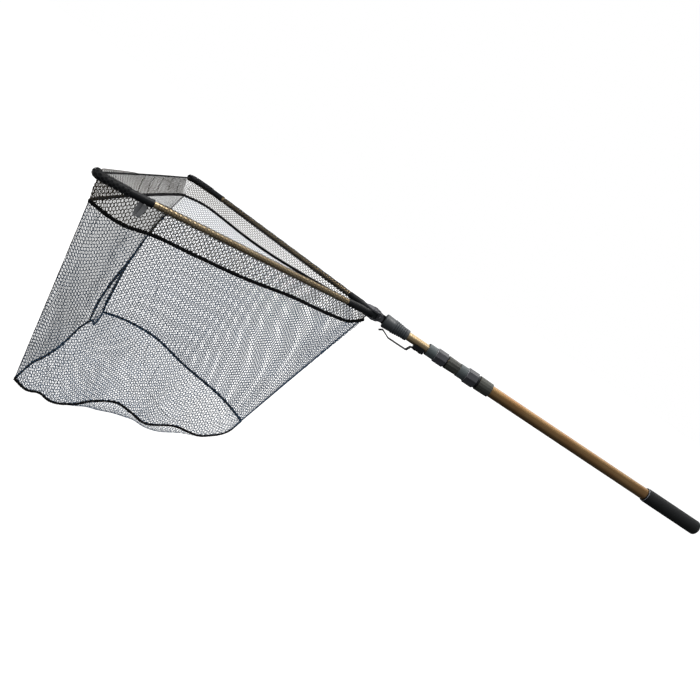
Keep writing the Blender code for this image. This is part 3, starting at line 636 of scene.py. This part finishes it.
def belt_clip():
    """A strip of spring steel, bent down and forward under the collar, with a lifted end."""
    bend = joint_place("clip_bend")
    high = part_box("belt_clip")[1]
    line = np.array([(x, 0, z) for x, z in CLIP_LINE]) * MM
    # The line's third point stands at the top rear of the CAD clip's box
    line += [high.x - line[2, 0] - 0.4 * MM, bend[1], high.z - line[2, 2] - CLIP_T / 2]
    side = np.array([0, CLIP_W / 2 - 0.2 * MM, 0])
    run = np.gradient(line, axis=0)
    thick = np.stack([run[:, 2], run[:, 1], -run[:, 0]], 1)
    thick *= CLIP_T / 2 / np.linalg.norm(thick, axis=1)[:, None]
    thick[2:5] *= CLIP_ROOT
    verts = np.stack([line - side - thick, line + side - thick, line + side + thick, line - side + thick], 1)
    strip = mesh_object("belt_clip_strip", verts.reshape(-1, 3), capped_faces(len(line), 4),
                        "spring_steel", 40)
    face_outwards(strip)
    stand_in(bevel(strip, 0.3 * MM, 2, 50), "belt_clip")


def small_inner_parts():
    """The small parts that show as their CAD shape."""
    for node in ("butt_plug", "spring_stop_ring", "lower_collet", "upper_collet",
                 "middle_bushing", "upper_bushing", "fold_pin", "near_pivot_rivet", "far_pivot_rivet"):
        mesh = frame["nodes"][node].data
        mesh.materials.clear()
        mesh.materials.append(MATERIALS[SLOT[node]])


# -------------------- head block and arms

def arm_frame(side):
    """Matrix that lays local X along the arm, from its pivot outwards."""
    run = HEAD_X * -math.cos(HALF_ANGLE) + HEAD_Y * side * math.sin(HALF_ANGLE)
    across = np.cross(HEAD_Z, run)
    pivot = HEAD_ORIGIN + HEAD_Y * side * PIVOT_Y
    columns = np.stack([run, across, HEAD_Z, pivot], 1)
    return Matrix([*columns.tolist(), [0, 0, 0, 1]])


def arm(tag, side):
    """Tube, knuckle and tip sleeve, whose rim is a little thicker."""
    place = arm_frame(side)
    profile = sleeve_profile(TUBE_START, STRAIGHT - TUBE_GAP, ARM_R - 1 * MM, ARM_R, ARM_R)
    tube = turned(tag + "_arm_tube_skin", profile, "bronze_anodised", 48, place=place)
    stand_in(bevel(tube, 0.2 * MM), tag + "_arm_tube")
    refined(tag + "_arm_knuckle", 0.4 * MM, segments=2, angle=25)
    line = head(tip_line(side))
    rim = 1 + 0.10 * np.exp(-(np.linspace(0, 1, len(line)) / 0.035) ** 2)
    sleeve = swept(tag + "_tip_sleeve_skin", line, "black_plastic", SLEEVE_R, SLEEVE_R,
                   HEAD_Z, 32, swell=rim)
    stand_in(bevel(sleeve, 0.6 * MM, 3, 50), tag + "_tip_sleeve")


def head_parts():
    refined("head_block", 0.5 * MM)
    for side, tag in ((-1, "near"), (1, "far")):
        arm(tag, side)


# -------------------- netting

CELL_W, CELL_H = 3.85 * MM, 5.6 * MM  # the honeycomb's pitch along its rows and across them
KNOT = CELL_W * 2 / 3  # length of the strands that lie along the rows
THREAD_W, THREAD_D = 0.96 * MM, 0.48 * MM  # flat threads, wide enough for the panels' tone in the photo
SHORTEST = 0.3 * MM  # strands cut shorter than this at an edge are left out


def strands(low, high):
    """Both ends of every strand of a honeycomb net that fills the box from low to high on the flat cloth."""
    first = np.floor(low / [CELL_W, CELL_H]).astype(int) - 1
    last = np.ceil(high / [CELL_W, CELL_H]).astype(int) + 1
    i, j = np.meshgrid(np.arange(first[0], last[0] + 1), np.arange(first[1], last[1] + 1), indexing="ij")
    x = (i * CELL_W).ravel()
    y = (j * CELL_H + (i % 2) * CELL_H / 2).ravel()
    top_left = np.stack([x - KNOT / 2, y + CELL_H / 2], 1)
    top_right = np.stack([x + KNOT / 2, y + CELL_H / 2], 1)
    right = np.stack([x + CELL_W - KNOT / 2, y], 1)
    low_right = np.stack([x + KNOT / 2, y - CELL_H / 2], 1)
    return np.concatenate([top_left, top_right, right]), np.concatenate([top_right, right, low_right])


def cut_of(surface):
    """The flat quadrilateral a panel is cut from: its corners have the panel's own sides and diagonal."""
    a, b, c, d = (surface(np.array([u]), np.array([v]))[0] for u, v in ((0, 0), (1, 0), (1, 1), (0, 1)))

    def third(left, right, apart):
        """Where a corner lies that is left from the first end and right from the other of a side."""
        x = (left ** 2 - right ** 2 + apart ** 2) / (2 * apart)
        return np.array([x, math.sqrt(max(0.0, left ** 2 - x ** 2))])

    ab = np.linalg.norm(b - a)
    flat_c = third(np.linalg.norm(c - a), np.linalg.norm(c - b), ab)
    flat_d = third(np.linalg.norm(d - a), np.linalg.norm(d - b), ab)
    return np.array([[0, 0], [ab, 0], flat_c, flat_d])


def panel_place(points, quad):
    """(u, v) of points of the flat cloth in the quadrilateral, by Newton's method on the bilinear map.

    Points far outside the cloth needn't be exact, so they are kept from running away.
    """
    a, b, c, d = quad
    uv = np.full(points.shape, 0.5)
    for _ in range(12):
        u, v = uv[:, :1], uv[:, 1:]
        miss = a * (1 - u) * (1 - v) + b * u * (1 - v) + c * u * v + d * (1 - u) * v - points
        du = (b - a) * (1 - v) + (c - d) * v
        dv = (d - a) * (1 - u) + (c - b) * u
        det = du[:, 0] * dv[:, 1] - du[:, 1] * dv[:, 0]
        det = np.where(np.abs(det) < 1e-9, 1e-9, det)
        uv = uv - np.stack([(miss[:, 0] * dv[:, 1] - miss[:, 1] * dv[:, 0]) / det,
                            (du[:, 0] * miss[:, 1] - du[:, 1] * miss[:, 0]) / det], 1)
        uv = np.clip(uv, -3, 4)
    return uv


def net_panel(name, surface, look, node=None, squash=True, body="head",
              quad=None, thread=(THREAD_W, THREAD_D)):
    """Netting cut to fit a panel and laid on it.

    surface(u, v) takes arrays from 0 to 1 and gives points in the head's frame. node is what the panel shows
    in place of, quad is the flat cut of a rolled panel, and thread is the strands' width and depth.
    """
    quad = cut_of(surface) if quad is None else quad
    low, high = quad.min(0), quad.max(0)
    start, end = strands(low, high)
    uv_start, uv_end = panel_place(start, quad), panel_place(end, quad)

    def inside(uv):
        return ((uv >= 0) & (uv <= 1)).all(1)

    keep = inside(uv_start) | inside(uv_end)
    uv_start, uv_end = (np.clip(uv[keep], 0, 1) for uv in (uv_start, uv_end))
    a, b = (surface(uv[:, 0], uv[:, 1]) for uv in (uv_start, uv_end))
    long_enough = np.linalg.norm(b - a, axis=1) > SHORTEST
    a, b, uv = a[long_enough], b[long_enough], ((uv_start + uv_end) / 2)[long_enough]
    step = 0.01
    du = surface(uv[:, 0] + step, uv[:, 1]) - surface(uv[:, 0] - step, uv[:, 1])
    dv = surface(uv[:, 0], uv[:, 1] + step) - surface(uv[:, 0], uv[:, 1] - step)
    normal = np.cross(du, dv)
    normal /= np.linalg.norm(normal, axis=1)[:, None] + 1e-12
    obj = threads(name, head(a), head(b), normal @ np.stack([HEAD_X, HEAD_Y, HEAD_Z]), look, thread)
    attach(obj, body)
    if squash:
        fold_with_arms(obj)
    if node:
        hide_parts(node)


def threads(name, a, b, normal, look, thread):
    """A square prism along each strand from a to b, with two sides facing along the cloth's normal."""
    run = b - a
    run /= np.linalg.norm(run, axis=1)[:, None]
    side = np.cross(run, normal)
    side /= np.linalg.norm(side, axis=1)[:, None] + 1e-12
    out = np.cross(side, run)
    corners = [(-1, -1), (1, -1), (1, 1), (-1, 1)]
    offsets = [i * thread[0] / 2 * side + j * thread[1] / 2 * out for i, j in corners]
    verts = np.stack([a + o for o in offsets] + [b + o for o in offsets], 1).reshape(-1, 3)
    base = np.arange(len(a))[:, None, None] * 8
    quads = np.array([[i, (i + 1) % 4, 4 + (i + 1) % 4, 4 + i] for i in range(4)])
    return mesh_object(name, verts, (base + quads).reshape(-1, 4).tolist(), look, sharp=0)


def fold_with_arms(obj):
    """Gives a soft piece between the arms its own copy of its mesh."""
    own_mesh(obj)


def hang_in_head(obj):
    """A soft piece that stands for no node of the CAD."""
    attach(obj, "head")
    fold_with_arms(obj)


# -------------------- the bag's lines, in the head's frame

def smooth_line(stops, values):
    """A function that runs smoothly through listed values at given shares of a line."""
    stops, values = np.array(stops, float), np.array(values, float)
    slopes = np.gradient(values, stops, axis=0)

    def at(w):
        w = np.clip(w, stops[0], stops[-1])
        i = np.clip(np.searchsorted(stops, w, side="right") - 1, 0, len(stops) - 2)
        gap = stops[i + 1] - stops[i]
        t = (w - stops[i]) / gap
        if values.ndim > 1:
            t, gap = t[..., None], gap[..., None]
        rise = values[i] * (2 * t ** 3 - 3 * t ** 2 + 1) + values[i + 1] * (3 * t ** 2 - 2 * t ** 3)
        return rise + gap * (slopes[i] * (t ** 3 - 2 * t ** 2 + t) + slopes[i + 1] * (t ** 3 - t ** 2))
    return at


HEM_START = 62 * MM  # from the pivot to where the netting first goes round the arm
BAND_STOPS = [np.array([-9 * MM, 4 * MM, 0]), arm_point(HEM_START, 1)[0], arm_point(SLEEVE_START, 1)[0],
              arm_point(ARM_TOTAL - 4 * MM, 1)[0]]


def band_line(w, side):
    """The bag's outline seen from above: w is 0 at the head block and 1 at the arm's tip."""
    steps = [np.linalg.norm(b - a) for a, b in zip(BAND_STOPS, BAND_STOPS[1:])]
    shares = np.concatenate([[0], np.cumsum(steps)]) / sum(steps)
    points = np.array(BAND_STOPS)
    x, y = (np.interp(w, shares, points[:, k]) for k in (0, 1))
    return np.stack([x, side * y, np.zeros_like(x)], -1)


SEAM_INSET = 0.95  # the seam under the band hangs a little inside the arms

# That seam's height, in mm at shares of the arm from the block to the tip
NEAR_DROP = smooth_line([0, 0.05, 0.13, 0.32, 0.48, 0.65, 0.83, 0.885, 0.94, 1],
                        [-18, -30, -33.5, -35.5, -41.5, -43, -44.5, -49, -47, -40])
FAR_DROP = smooth_line([0, 0.05, 0.13, 0.35, 0.5, 0.65, 0.8, 0.9, 1],
                       [-9, -11, -13, -23, -29, -31, -29.5, -29.5, -37])

# The bound seam round the base, in mm: near and far side from the rear corner to the front one, then front
NEAR_BASE = smooth_line(
    [0, 0.04, 0.12, 0.28, 0.40, 0.50, 0.58, 0.66, 0.76, 0.86, 0.89, 0.95, 1],
    [(-99, 0, -301), (-107, -9, -324), (-138, -32, -347), (-196, -72, -345), (-237, -100, -354),
     (-264, -118, -341), (-290, -135, -331), (-318, -150, -340), (-346, -164, -359), (-378, -180, -364),
     (-390, -184, -359), (-411, -193, -361), (-430, -202, -350)])
FAR_BASE = smooth_line(
    [0, 0.12, 0.4, 0.7, 0.85, 1],
    [(-99, 0, -301), (-141, 23, -294), (-247, 82, -296), (-348, 137, -296), (-408, 172, -311),
     (-462, 200, -331)])
FRONT_BASE = smooth_line(
    [0, 0.05, 0.28, 0.5, 0.70, 0.80, 0.87, 0.93, 1],
    [(-430, -202, -350), (-428, -188, -336), (-436, -101, -342), (-444, -17, -346), (-451, 72, -328),
     (-454, 128, -331), (-458, 168, -352), (-464, 208, -349), (-462, 200, -331)])


def side_seam(w, side):
    """The bound seam under the band, from the block to the tip."""
    point = band_line(w, side)
    point[..., 1] *= SEAM_INSET
    drop = NEAR_DROP if side < 0 else FAR_DROP
    point[..., 2] = drop(w) * MM
    return point


def front_seam(s):
    """Across the mouth's front, from the near corner to the far one."""
    near, far = side_seam(np.ones(1), -1)[0], side_seam(np.ones(1), 1)[0]
    s = s[..., None]
    sag = np.array([-3.0, 0, 3.0]) * MM
    return near * (1 - s) + far * s + sag * np.sin(math.pi * s) ** 0.5


def side_base(w, side):
    return (NEAR_BASE if side < 0 else FAR_BASE)(w) * MM


def front_base(s):
    return FRONT_BASE(s) * MM


def hump(share):
    """Runs from 0 at one edge of a panel to 1 in its middle, and back to 0."""
    return np.sin(math.pi * np.clip(share, 0, 1))


def between(top, bottom):
    """A panel stretched between two lines: u runs along them and v from top to bottom."""
    def surface(u, v):
        a, b = top(np.clip(u, 0, 1)), bottom(np.clip(u, 0, 1))
        return a + (b - a) * v[..., None]
    return surface


CORNER_BOW = -15 * MM
WALL_BELLY, WALL_FOLDS = 7 * MM, 1.2 * MM
FRONT_BELLY, FRONT_FOLDS = 5 * MM, 0.9 * MM


def corner_bow(side, v):
    """How far the front corner's edge is drawn forward at each height; only the far one is gathered."""
    return (side > 0) * CORNER_BOW * hump(v) ** 0.8


def wall(side):
    """A side wall, from the block to the tip, with a slight belly and a few soft folds."""
    flat = between(lambda w: side_seam(w, side), lambda w: side_base(w, side))
    out = np.array([-math.sin(HALF_ANGLE), side * math.cos(HALF_ANGLE), 0])

    def surface(u, v):
        depth = WALL_BELLY * hump(u) * hump(v) + WALL_FOLDS * np.sin(17 * u + 3 * v) * hump(v)
        place = flat(u, v) + depth[..., None] * out
        place[..., 0] += corner_bow(side, v) * np.clip(u, 0, 1) ** 4
        return place
    return surface


def front_wall():
    """The wall under the mouth's front, with the same kind of belly and folds."""
    flat = between(front_seam, front_base)

    def surface(u, v):
        depth = FRONT_BELLY * hump(u) * hump(v) + FRONT_FOLDS * np.sin(15 * u - 5 * v) * hump(v)
        place = flat(u, v)
        place[..., 0] += corner_bow(1, v) * np.clip(u, 0, 1) ** 4 - depth
        return place
    return surface


def base():
    """The base panel: u runs from the rear to the front, v from the near seam to the far one.

    It sags most at 0.3 and 0.6 of its length, and more towards the near side.
    """
    flat = between(lambda w: side_base(w, -1), lambda w: side_base(w, 1))

    def surface(u, v):
        across = np.clip(v, 0, 1)
        belly = np.sin(math.pi * across ** 0.6) * hump(u) ** 0.5
        rear_sag = 14 + 22 * np.exp(-((u - 0.30) / 0.10) ** 2)
        front_sag = 26 * np.exp(-((u - 0.60) / 0.13) ** 2)
        depth = (rear_sag * belly + front_sag * np.sin(math.pi * across ** 0.5)) * MM
        out = np.array([0, -0.35, -1.0])
        return flat(u, v) + depth[..., None] * out
    return surface


BAND_TOP = -3 * MM  # the band starts this far below the arms' centre lines


def side_band(side):
    """The doubled netting between the arm and the bound seam under it."""
    def top(w):
        point = band_line(w, side)
        point[..., 2] = BAND_TOP
        return point
    flat = between(top, lambda w: side_seam(w, side))
    out = np.array([-math.sin(HALF_ANGLE), side * math.cos(HALF_ANGLE), 0])

    def surface(u, v):
        depth = 0.8 * MM * np.sin(26 * u + 4 * v) + 1.5 * MM * np.sin(9 * u)
        return flat(u, v) + (depth * hump(v))[..., None] * out
    return surface


CORD_ENDS = [tip_line(side)[-1] for side in (-1, 1)]


def cord_line(s):
    """The front cord, from the near tip to the far one, pulled a little forward in the middle."""
    s = s[..., None]
    bow = np.array([-2 * MM, 0, 0])
    return CORD_ENDS[0] * (1 - s) + CORD_ENDS[1] * s + bow * np.sin(math.pi * s)


FRONT_RISE, RISE_SHARE = 5.5 * MM, 0.36  # how far it stands above the cord, over this share from near
BAND_AHEAD = 1.6 * MM
REACH_SHARE = 0.03  # at both ends, the share over which its edge runs on to the arm


def front_band():
    """Netting over the front cord: it stands above the cord at the near side and hangs to the seam."""
    reach = [band_line(np.ones(1), side)[0] - end for side, end in zip((-1, 1), CORD_ENDS)]

    def top(s):
        rise = FRONT_RISE * np.clip(1 - s / RISE_SHARE, 0, 1) ** 0.6
        place = cord_line(s) + rise[..., None] * np.array([0, 0, 1.0]) + np.array([-BAND_AHEAD, 0, 0])
        for share, gap in zip((1 - s / REACH_SHARE, 1 - (1 - s) / REACH_SHARE), reach):
            place += np.clip(share, 0, 1)[..., None] * gap
        return place
    flat = between(top, front_seam)

    def surface(u, v):
        depth = 0.8 * MM * np.sin(19 * u - 5 * v) * hump(v)
        return flat(u, v) - depth[..., None] * [1.0, 0, 0]
    return surface


HEM_END, HEM_R = SLEEVE_START - 4 * MM, ARM_R + 0.75 * MM
TIP_HEM_R = 7 * MM  # for the cut of the netting over the tips
TIP_HEM_SKIPS = 7  # points of the tip's line before the netting covers it


def rolled_cut(length, round_r):
    """The flat cut of a piece that is rolled into a sleeve."""
    return np.array([(0, 0), (1, 0), (1, 1), (0, 1)]) * [length, math.tau * round_r]


def hem(side):
    """The sleeve of netting that the arm is threaded through."""
    place = np.array(arm_frame(side))

    def surface(u, v):
        t = HEM_START + (HEM_END - HEM_START) * u
        angle = math.tau * v + math.pi / 2
        snug = HEM_R + 0.3 * MM * np.sin(70 * u + 2 * angle)
        local = np.stack([t, snug * np.cos(angle), snug * np.sin(angle), np.ones_like(t * angle)], -1)
        world = local @ place[:3].T
        return np.stack([(world - HEAD_ORIGIN) @ axis for axis in (HEAD_X, HEAD_Y, HEAD_Z)], -1)
    return surface


def tip_hem(side):
    """The same sleeve of netting where it runs on over the black tip and its elbow."""
    line = tip_line(side)[TIP_HEM_SKIPS:-1]
    steps = lengths(line)
    across, high = line_frames(line, (0, 0, 1))

    def surface(u, v):
        at = np.clip(u, 0, 1) * steps[-1]
        middle, side_way, up_way = (read_off(at, steps, part) for part in (line, across, high))
        angle = math.tau * v
        snug = SLEEVE_R + 0.8 * MM
        return middle + snug * (np.cos(angle)[..., None] * side_way + np.sin(angle)[..., None] * up_way)
    return surface, float(steps[-1])


# -------------------- the bag's seams and cords

SEAM_STEP = 3 * MM  # between the core's rings
STITCH_PITCH, STITCH_STEPS, STITCH_R = 3.2 * MM, 7, 0.36 * MM
STITCH_OUT = 1.12  # the thread's distance from the middle, in core half widths


def bound_seam(name, node, line, across, upwards):
    """A rolled and overlocked edge: an uneven oval core with a thread wound round it."""
    steps = lengths(line)
    count = int(steps[-1] / SEAM_STEP)
    middle = read_off(np.linspace(0, steps[-1], count), steps, line)
    n = np.arange(count)
    swell = 1 + 0.10 * np.sin(n * 1.9) + 0.08 * np.sin(n * 0.73 + 1)
    core = swept(name, head(middle), "binding", across, upwards, HEAD_Z, 10, swell=swell)
    stand_in(core, node)
    fold_with_arms(core)
    turns = int(steps[-1] / STITCH_PITCH)
    run = read_off(np.linspace(0, steps[-1], turns * STITCH_STEPS), steps, line)
    side, high = line_frames(run, (0, 0, 1))
    angle = np.arange(len(run)) * math.tau / STITCH_STEPS
    coil = run + STITCH_OUT * across * np.cos(angle)[:, None] * side
    coil += STITCH_OUT * upwards * np.sin(angle)[:, None] * high
    stitch = swept(name + "_stitching", head(coil), "stitching", STITCH_R, STITCH_R, HEAD_X, 4,
                   sharp=0)
    hang_in_head(stitch)


def seams():
    """Each bound seam with the half widths of its core, across and upwards."""
    shares = np.linspace(0, 1, 90)
    bound_seam("near_band_binding", "band_seam", side_seam(shares, -1), 1.5 * MM, 2.9 * MM)
    bound_seam("far_band_binding", "band_seam", side_seam(shares, 1), 1.4 * MM, 2.5 * MM)
    bound_seam("front_band_binding", "band_seam", front_seam(shares), 1.5 * MM, 2.6 * MM)
    bound_seam("near_base_binding", "base_seam", side_base(shares, -1), 1.5 * MM, 2.1 * MM)
    bound_seam("far_base_binding", "base_seam", side_base(shares, 1), 1.8 * MM, 2.4 * MM)
    bound_seam("front_base_binding", "base_seam", front_base(shares), 1.6 * MM, 2.2 * MM)


def corner(side, share):
    """The edge between the front wall and a side wall: share is 0 at the band's seam and 1 at the base."""
    top, low = side_seam(np.ones(1), side)[0], side_base(np.ones(1), side)[0]
    place = top + (low - top) * share[..., None]
    place[..., 0] += corner_bow(side, share)
    return place


def bundle(name, line, thick):
    """A twisted bundle of netting of uneven thickness; thick is its half width at every point."""
    n = np.arange(len(line))
    uneven = thick * (1 + 0.14 * np.sin(n * 1.3) + 0.10 * np.sin(n * 0.41))
    return swept(name, head(line), "binding", 1, 0.8, HEAD_X, 10, swell=uneven)


def gathered_corner(tag, side):
    """Netting bunched along a front corner: thin at the near one, and at the far one thicker below."""
    share = np.linspace(0.0, 0.99, 90)
    thick = (1.0 + 2.4 * share ** 1.2) * MM if side > 0 else np.full(len(share), 0.6 * MM)
    gather = bundle(tag + "_gather", corner(side, share), thick)
    stand_in(gather, tag + "_corner_gather")
    fold_with_arms(gather)


def fold(name, surface, stops, thick):
    """A thin gathered fold of netting that runs over a panel through these (u, v) places."""
    line = smooth_line(np.linspace(0, 1, len(stops)), stops)(np.linspace(0, 1, 50))
    taper = 0.35 + 0.65 * np.sin(math.pi * np.linspace(0.06, 0.94, 50))
    piece = bundle(name, surface(line[:, 0], line[:, 1]), thick * taper)
    hang_in_head(piece)


def folds():
    """Each fold's panel, path and half width in mm. The first is the far corner's thick fork."""
    front, far, low, band = front_wall(), wall(1), base(), front_band()
    runs = [(front, [(0.99, 0.38), (0.89, 0.535), (0.80, 0.73), (0.76, 0.86), (0.755, 0.99)], 3.2),
            (front, [(0.71, 0.33), (0.58, 0.33), (0.53, 0.42)], 0.5),
            (front, [(0.13, 0.10), (0.165, 0.22)], 0.5),
            (far, [(0.865, 0.55), (0.80, 0.70), (0.73, 0.95)], 0.5),
            (far, [(1.0, 0.0), (0.998, 0.13)], 0.6),
            (low, [(0.99, 0.47), (0.955, 0.42), (0.90, 0.28)], 0.45),
            (low, [(0.978, 0.28), (0.927, 0.18)], 0.4),
            (low, [(0.68, 0.96), (0.60, 0.72)], 0.45),
            (low, [(0.53, 0.85), (0.515, 0.56)], 0.45),
            (low, [(0.645, 0.59), (0.425, 0.48), (0.215, 0.40)], 0.5)]
    runs += [(band, [(top, 0.1), (top - 0.03, 0.5), (top - 0.035, 0.97)], 0.65)
             for top in (0.44, 0.55, 0.66, 0.785, 0.91)]
    for i, (surface, stops, thick) in enumerate(runs):
        fold(f"fold_{i + 1}", surface, stops, thick * MM)


REAR_EDGE_R, CORD_R = 1.1 * MM, 1.5 * MM


def rear_edge():
    """The sewn edge where the two side walls meet behind."""
    share = np.linspace(0, 1, 40)[:, None]
    top, low = side_seam(np.zeros(1), 1)[0], side_base(np.zeros(1), 1)[0]
    top[1] = 0
    line = top + (low - top) * share
    cord = swept("rear_edge_cord", head(line), "binding", REAR_EDGE_R, REAR_EDGE_R, HEAD_X, 10)
    hang_in_head(cord)


def front_cord():
    """The braided cord between the tips, in two halves."""
    for tag, ends in (("near", (0.0, 0.5)), ("far", (1.0, 0.5))):
        line = head(cord_line(np.linspace(*ends, 60)))
        piece = swept(tag + "_front_cord", line, "cord", CORD_R, CORD_R, HEAD_Z, 12)
        tuple(line[-1])
        tuple(line[0])
        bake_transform(piece)
        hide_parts("front_cord")


TAPE_HALF_T, TAPE_HALF_W = 0.5 * MM, 3.6 * MM


def net_tab():
    """The loop of tape sewn under the near tip sleeve."""
    low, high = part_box("net_tab")
    middle = np.array((low + high) / 2)
    run = HEAD_X * -math.cos(HALF_ANGLE) - HEAD_Y * math.sin(HALF_ANGLE)
    drop = high.z - low.z
    # Along the arm and across it in mm, and upwards in halves of the drop
    outline = [(2.0, 1.0, 1.1), (2.4, 1.4, 0.1), (2.2, 1.3, -0.8), (0.5, 0.3, -1.0), (-1.6, -1.2, -0.8),
               (-3.6, -1.6, 0.1), (-4.6, -1.0, 1.1)]
    line = smooth_line(np.linspace(0, 1, len(outline)), outline)(np.linspace(0, 1, 50))
    across = np.cross(run, HEAD_Z)
    points = middle + line[:, :1] * MM * run + line[:, 1:2] * MM * across + line[:, 2:] * drop / 2 * HEAD_Z
    tape = swept("net_tab_tape", points, "tape", TAPE_HALF_T, TAPE_HALF_W, run, 12)
    stand_in(tape, "net_tab")
    fold_with_arms(tape)


SIDE_THREAD_D = 0.5 * MM


def bag():
    """Every panel of netting. The far arm's sleeve has thicker threads than the near one's, and its darker
    colour is painted shade.
    """
    # The far sleeve's darker look, the stitching material instead of net_band, is painted shade on the far
    # arm
    sides = ((-1, "near", "net_band", 1.25 * MM, 0.5 * MM), (1, "far", "stitching", 1.15 * MM, 1.2 * MM))
    for side, tag, hem_look, band_thread, hem_thread in sides:
        net_panel(tag + "_wall_net", wall(side), "netting", tag + "_wall")
        net_panel(tag + "_band_net", side_band(side), "net_band", tag + "_band",
                  thread=(band_thread, SIDE_THREAD_D))
        net_panel(tag + "_hem_net", hem(side), hem_look, tag + "_net_sleeve",
                  squash=False, body=tag + "_arm",
                  quad=rolled_cut(HEM_END - HEM_START, HEM_R), thread=(hem_thread, SIDE_THREAD_D))
        over_tip, length = tip_hem(side)
        net_panel(tag + "_tip_net", over_tip, "stitching",
                  squash=False, body=tag + "_arm",
                  quad=rolled_cut(length, TIP_HEM_R))
        gathered_corner(tag, side)
    net_panel("front_band_net", front_band(), "net_band", "front_band",
              thread=(0.80 * MM, 0.62 * MM))
    net_panel("front_wall_net", front_wall(), "netting_shaded", "front_wall",
              thread=(0.80 * MM, 0.30 * MM))
    net_panel("base_net", base(), "netting", "net_base",
              thread=(0.68 * MM, 0.50 * MM))


front_cord()
handle()
ribbed_collar()
collar_spring()
belt_clip()
small_inner_parts()
head_parts()
seams()
bag()
folds()
rear_edge()
net_tab()
